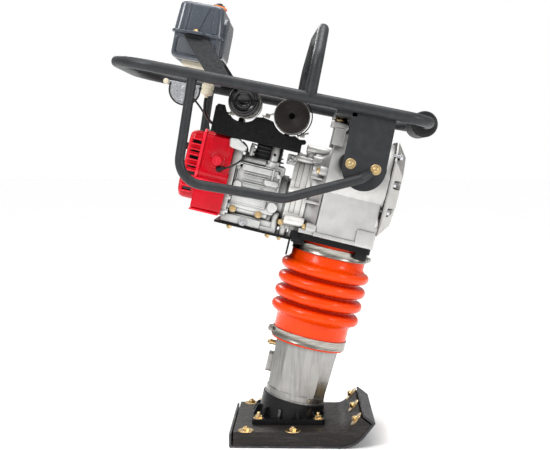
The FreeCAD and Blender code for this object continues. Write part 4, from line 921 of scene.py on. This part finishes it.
def make_flange_details():
    collar = Piece()
    collar.turned((-46, 0, 0), "w", [(697, 13), (697, 17), (701, 17), (701, 13)], 40, True)
    collar.turned((-46, 0, 0), "w", [(703, 13), (703, 16), (708, 16), (708, 13)], 6, True)
    collar.make("buffer_collar", "zinc")

    lugs = Piece()
    lugs.block("v", (-97, -72), (410, 430.6), (-58, -88), 3, 2)
    lugs.block("v", (-90, -66), (404, 418), (-60, -84), 3, 2)
    lugs.block("w", (52, 80), (-84, -62), (431, 401), 4, 2)
    lugs.make("flange_lugs", "cast_black", bevel=0.6)
    nuts = Piece()
    for u, v in ((-84, -73), (66, -73), (66, 73), (-70, 80)):
        nuts.bolt((u, v, FLANGE_BOTTOM), "-w", 7, 10, 1.15, nut=3)
    nuts.make("flange_nuts", "machined_steel")


# ---------------------------------------------------------------- tank and controls
def tank_side(points, out):
    """Points of (s, t) on the sloping right side of the tank's upper half, raised by out."""
    return [Vector((s, (t - 96) * 6 / 70 - TANK_MIDDLE - out, t)) for s, t in points]


def make_tank():
    shell = Piece(HANDLE)
    seam = 95
    curve = [math.pi / 2 * step / 6 for step in range(7)]
    rings = []
    for t, inset in [(50 - 14 * math.cos(angle), 14 * (1 - math.sin(angle)) * 0.9)
                     for angle in curve] + [(seam, 0)]:
        outline = rounded_rectangle((-275 + inset, -169 - inset),
                                    (inset - TANK_MIDDLE, TANK_MIDDLE - inset),
                                    max(14 - inset * 0.4, 4))
        rings.append(lifted(outline, "w", t))
    shell.loft(rings)
    rings = []
    for t, inset in [(seam, 0.0)] + [(156 + 10 * math.sin(angle), 10 * (1 - math.cos(angle)))
                                     for angle in curve]:
        rise = (t - seam) / 71
        outline = rounded_rectangle((-277 + 4 * rise + inset, -168 - 7 * rise - inset),
                                    (6 * rise + inset - TANK_MIDDLE,
                                     TANK_MIDDLE - 6 * rise - inset), 13)
        rings.append(lifted(outline, "w", t))
    shell.loft(rings)
    half = 74
    rings = []
    for s, inset in ((-185, 0), (-167, 0), (-163, 1.5), (-160.4, 5), (-160, 10)):
        side = [(half - inset, 52 + inset), (half - inset, 128 - inset), (60 - inset, 144 - inset)]
        mirrored = [(-v, t) for v, t in side[::-1]]
        rings.append(lifted(rounded_polygon(mirrored[2:] + side + mirrored[:2], 9), "u", s))
    shell.loft(rings)
    shell.block("w", (-281, -165), (-103, 103), TANK_LIP, 15, 2, both=True)
    for side in (-1, 1):
        shell.block("w", (-246, -208), (side * 108 - 8, side * 108 + 8), TANK_LIP, 6, 1.5,
                    both=True)
        shell.rim("v", (-271, -173), (40, 89), (side * 96, side * 100.4), 7, 12, 1.6)
    shell.turned((CAP_PLACE, 0, 156), "w", [(0, 17), (11, 17), (12, 16), (12, 13.4)], 48)
    panel = [(-247, 101), (-222, 101), (-205, 158), (-243, 158)]
    left = [(-264, 101), (-259, 101), (-258, 160), (-261, 160)]
    middle = [(-253, 101), (-250, 101), (-248, 160), (-251, 160)]
    corner = [(-192, 101), (-182, 101), (-186, 158), (-194, 158)]
    for points, out in ((panel, 2.6), (left, 1.8), (middle, 1.8), (corner, 2.2)):
        shell.loft([tank_side(points, -2), tank_side(points, out)])
    for y in range(-60, 61, 20):
        shell.block("u", (y - 2, y + 2), (60, 124), (-163, -160), 1.8, 1.0)
    shell.make("tank_shell", "tank_plastic", sharp=40, bevel=1.0, replaces=("fuel_tank",))

    recess = Piece(HANDLE)
    for side in (-1, 1):
        recess.block("v", (-263, -181), (48, 83), (side * 96, side * 98.8), 6, 0.6)
    recess.make("tank_panels", "tank_plastic", look="tank_matt")


def make_tank_straps():
    strap = Piece(HANDLE)
    for side in (-1, 1):
        low = [(-177, 186.5), (-123, 186.5), (-123, 191), (-177, 191)]
        high = [(-249, 106.5), (-193, 106.5), (-193, 111), (-249, 111)]
        rings = [[Vector((s, side * v, 8)) for s, v in low],
                 [Vector((s, side * v, 85)) for s, v in high],
                 [Vector((s, side * (v - 0.6), 91.6)) for s, v in high]]
        strap.loft(rings)
        strap.block("w", (-249, -193), sorted((side * 99, side * 111)), (87.6, 91.7), 2, 0.6)
    strap.make("tank_straps", "frame_paint", look="strap_paint", sharp=25, bevel=0.8,
               replaces=("tank_brackets",))


def make_fuel_filter():
    filter_piece = Piece(HANDLE)
    filter_piece.turned((-186, -20, -36), "w",
                        [(0, 0), (0, 4), (5, 4.4), (6, 8), (8, 12.4), (12, 13.8), (17, 13.8),
                         (18, 12.8), (20, 12.8), (21, 13.8), (30, 13.8), (33, 11), (34, 8.6),
                         (40, 8.6), (41, 6), (63, 6), (63, 0)], 56)
    for step in range(14):
        angle = math.tau * step / 14
        along = Vector((math.cos(angle), math.sin(angle), 0))
        filter_piece.turned(Vector((-186, -20, -14.5)) + along * 13.4, "w",
                            [(0, 0), (0, 1.1), (8, 1.1), (8, 0)], 8)
    filter_piece.block("w", (-252, -172), (-60, 60), (36, 27), 10, 2)
    filter_piece.make("filter_bowl", "filter_plastic", sharp=40, replaces=("fuel_filter",))


def make_fuel_cap():
    cap = Piece(HANDLE)
    cap.loft([lifted(fluted((CAP_PLACE, 0), 19, flute, 24, scale, 120), "w", t)
              for t, scale, flute in ((168.4, 1, 0.5), (173, 1, 0.5), (175, 0.86, 0),
                                      (177, 0.7, 0))])
    cap.turned((CAP_PLACE, 0, 160), "w", [(0, 0), (0, 12.9), (9, 12.9)], 40)
    cap.make("cap_flange", "orange_plastic", "cap", sharp=50, replaces=("fuel_cap",))
    knob = Piece(HANDLE)
    knob.turned((CAP_PLACE, 0, 176.5), "w", [(0, 13.5), (2, 13.5), (2.8, 12), (2.8, 8.6),
                                              (5, 8), (6.4, 6.6), (7.2, 4.5), (7.4, 0)], 40)
    knob.make("cap_knob", "black_plastic", "cap")


def make_throttle():
    pivot = THROTTLE_PIVOT
    lever = Piece(HANDLE)
    top = -2.0
    reach = math.degrees(math.asin((top - pivot[1]) / THROTTLE_RADIUS))
    lever.prism(arc(pivot, 38, 180 - reach, 360 + reach, 40), "v", (172.6, 175.4))
    for outer, inner in ((30, 27), (20, 17)):
        lever.prism(sector_ring(pivot, outer, inner, 4), "v", (171.2, 173))
    lever.turned((pivot[0], 170, pivot[1]), "v", [(0, 5.1), (0, 9), (1, 10), (6, 10), (6, 5.1)],
                 40, True)
    for s, t in ((-287, -12), (-239, -12), (-263, -48)):
        lever.turned((s, 169.5, t), "v", [(0, 0), (0, 3.4), (1, 4.2), (4, 4.2)], 24)
    lever.prism([(-298, -9), (-312, -9), (-312, -2), (-226, -2), (-226, -7)], "v", (170, 176))
    lever.make("throttle_disc", "machined_steel", "throttle", bevel=0.4,
               replaces=("throttle_lever",))
    edge = Piece(HANDLE)
    edge.prism(sector_ring(pivot, THROTTLE_RADIUS, 36.5, reach - 4), "v", (169.5, 177))
    edge.make("throttle_rim", "black_rubber", "throttle", bevel=0.6)
    grip = Piece(HANDLE)
    grip.turned((-312, 166, -6.5), "v", [(0, 0), (0, 5), (1.5, 7), (14.5, 7), (16, 5), (16, 0)],
                28)
    grip.make("throttle_grip", "filter_plastic", "throttle")


def sector_ring(centre, outer, inner, reach):
    """Outline of the lower part of a ring, ending reach degrees above its centre."""
    return (arc(centre, outer, 180 - reach, 360 + reach, 40)
            + arc(centre, inner, 360 + reach, 180 - reach, 40))


def make_roller():
    roller = Piece(HANDLE)
    profile = [(-75, 12.6), (-75, 20), (-73, 20), (-73, 27.5), (-71.5, 29.3)]
    for v in range(-65, 70, 16):
        profile += [(v - 0.5, 29.5), (v, 27.6), (v + 3, 27.6), (v + 3.5, 29.5)]
    profile += [(71.5, 29.3), (73, 27.5), (73, 20), (75, 20), (75, 12.6)]
    roller.turned((ROLLER_PLACE, 0, 0), "v", profile, 72, True)
    roller.make("roller_sleeve", "black_rubber", "roller", sharp=50, replaces=("front_roller",))


def cord_curve(name, node, points, radius, slot):
    """A held cord: one smooth NURBS curve on given points, in metres."""
    data = bpy.data.curves.new(name, "CURVE")
    data.dimensions = "3D"
    data.bevel_depth = radius
    data.bevel_resolution = 6
    data.resolution_u = 16
    data.use_fill_caps = True
    line = data.splines.new("NURBS")
    line.points.add(len(points) - 1)
    for target, point in zip(line.points, points):
        target.co = (*point, 1)
    line.order_u = 3
    line.use_endpoint_u = True
    data.materials.append(LOOKS[slot].material)
    made = linked(name, data)
    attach(made, "housing")
    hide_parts(node)


def make_cords():
    hose = [HANDLE @ Vector((-0.186, -0.020, -0.036)), HANDLE @ Vector((-0.186, -0.018, -0.062)),
            BODY @ Vector((-0.353, 0.006, 0.638)), BODY @ Vector((-0.342, 0.044, 0.624)),
            BODY @ Vector((-0.316, 0.076, 0.620)), BODY @ Vector((-0.284, 0.096, 0.608)),
            BODY @ Vector((-0.258, 0.100, 0.584)), BODY @ Vector((-0.238, 0.100, 0.572))]
    cord_curve("fuel_line", "fuel_hose", hose, 0.0035, "black_rubber")
    cable = [HANDLE @ Vector((-0.236, 0.164, -0.036)), HANDLE @ Vector((-0.206, 0.163, -0.060)),
             HANDLE @ Vector((-0.184, 0.160, -0.095)), BODY @ Vector((-0.352, 0.156, 0.590)),
             BODY @ Vector((-0.330, 0.140, 0.553)), BODY @ Vector((-0.292, 0.122, 0.545)),
             BODY @ Vector((-0.256, 0.112, 0.560)), BODY @ Vector((-0.222, 0.106, 0.5905))]
    cord_curve("control_cable", "throttle_cable", cable, 0.0025, "black_rubber")
    lead = [BODY @ Vector((-0.284, -0.105, 0.529)), BODY @ Vector((-0.272, -0.117, 0.533)),
            BODY @ Vector((-0.254, -0.118, 0.546)), BODY @ Vector((-0.240, -0.114, 0.562)),
            BODY @ Vector((-0.233, -0.108, 0.580)), BODY @ Vector((-0.240, -0.098, 0.594)),
            BODY @ Vector((-0.250, -0.090, 0.5985))]
    cord_curve("ignition_lead", "switch_lead", lead, 0.0022, "black_rubber")


make_bellows()
make_clamps()
make_foot_bolts()
make_cover_bolts()
make_engine_bolts()
make_frame_bolts()
make_engine_casting()
make_cylinder()
make_shroud()
make_recoil_cover()
make_stop_switch()
make_canisters()
make_canister_bands()
make_cradle()
make_clutch_housing()
make_case_details()
make_flange_details()
make_tank()
make_tank_straps()
make_fuel_filter()
make_fuel_cap()
make_throttle()
make_roller()
make_cords()


# ---------------------------------------------------------------- studio
def make_world():
    """White behind the object; as light, brighter overhead than at the horizon."""
    world = bpy.data.worlds.new("studio")
    bpy.context.scene.world = world
    world.use_nodes = True
    nodes = world.node_tree.nodes
    links = world.node_tree.links
    light = nodes["Background"]
    light.inputs["Color"].default_value = (1, 1, 1, 1)
    split = nodes.new("ShaderNodeSeparateXYZ")
    links.new(nodes.new("ShaderNodeTexCoord").outputs["Generated"], split.inputs["Vector"])
    rise = nodes.new("ShaderNodeMapRange")
    for socket, number in (("From Min", 0.0), ("From Max", 0.8), ("To Min", 0.28), ("To Max", 0.8)):
        rise.inputs[socket].default_value = number
    links.new(split.outputs["Z"], rise.inputs["Value"])
    links.new(rise.outputs["Result"], light.inputs["Strength"])
    backdrop = nodes.new("ShaderNodeBackground")
    backdrop.inputs["Color"].default_value = (1, 1, 1, 1)
    choice = nodes.new("ShaderNodeMixShader")
    links.new(nodes.new("ShaderNodeLightPath").outputs["Is Camera Ray"], choice.inputs["Fac"])
    links.new(light.outputs["Background"], choice.inputs[1])
    links.new(backdrop.outputs["Background"], choice.inputs[2])
    links.new(choice.outputs["Shader"], nodes["World Output"].inputs["Surface"])


def make_floor():
    plane = bmesh.new()
    bmesh.ops.create_grid(plane, x_segments=1, y_segments=1, size=30)
    data = bpy.data.meshes.new("floor")
    plane.to_mesh(data)
    plane.free()
    floor = linked("floor", data)
    look = Look("floor", (0.93, 0.93, 0.93), 0.75)
    look.tint(look.noise(3), (0.90, 0.90, 0.90), 0.4, 0.7, 0.5)
    data.materials.append(look.material)


def make_lamps():
    """Four soft disks aimed at the middle of the part, and a broad sun."""
    aim = Vector((0, 0, 0.55))
    lamps = (("key", (-1.5, -2.2, 2.3), 1.0, 46), ("side", (2.3, -1.5, 1.3), 0.8, 22),
             ("top", (0.3, 0.2, 2.9), 1.2, 26), ("rear", (-0.8, 2.2, 2.0), 1.2, 24))
    for name, place, size, power in lamps:
        lamp = bpy.data.lights.new(name, "AREA")
        lamp.shape = "DISK"
        lamp.size = size
        lamp.energy = power
        stand = linked(name, lamp)
        stand.location = place
        stand.rotation_euler = (aim - Vector(place)).to_track_quat("-Z", "Y").to_euler()
    daylight = bpy.data.lights.new("daylight", "SUN")
    daylight.energy = 1.5
    daylight.angle = math.radians(50)
    stand = linked("daylight", daylight)
    stand.rotation_euler = Vector((0.35, 0.35, -1)).to_track_quat("-Z", "Y").to_euler()


def make_camera():
    camera = bpy.data.cameras.new("camera")
    camera.lens = 65.45
    camera.sensor_width = 36
    eye = linked("camera", camera)
    eye.location = (0.0392, -2.330, 0.6405)
    eye.rotation_euler = (math.radians(90 - 3.72), 0, math.radians(1.72))
    bpy.context.scene.camera = eye
    bpy.context.scene.view_settings.view_transform = "Standard"


make_floor()
make_world()
make_lamps()
make_camera()
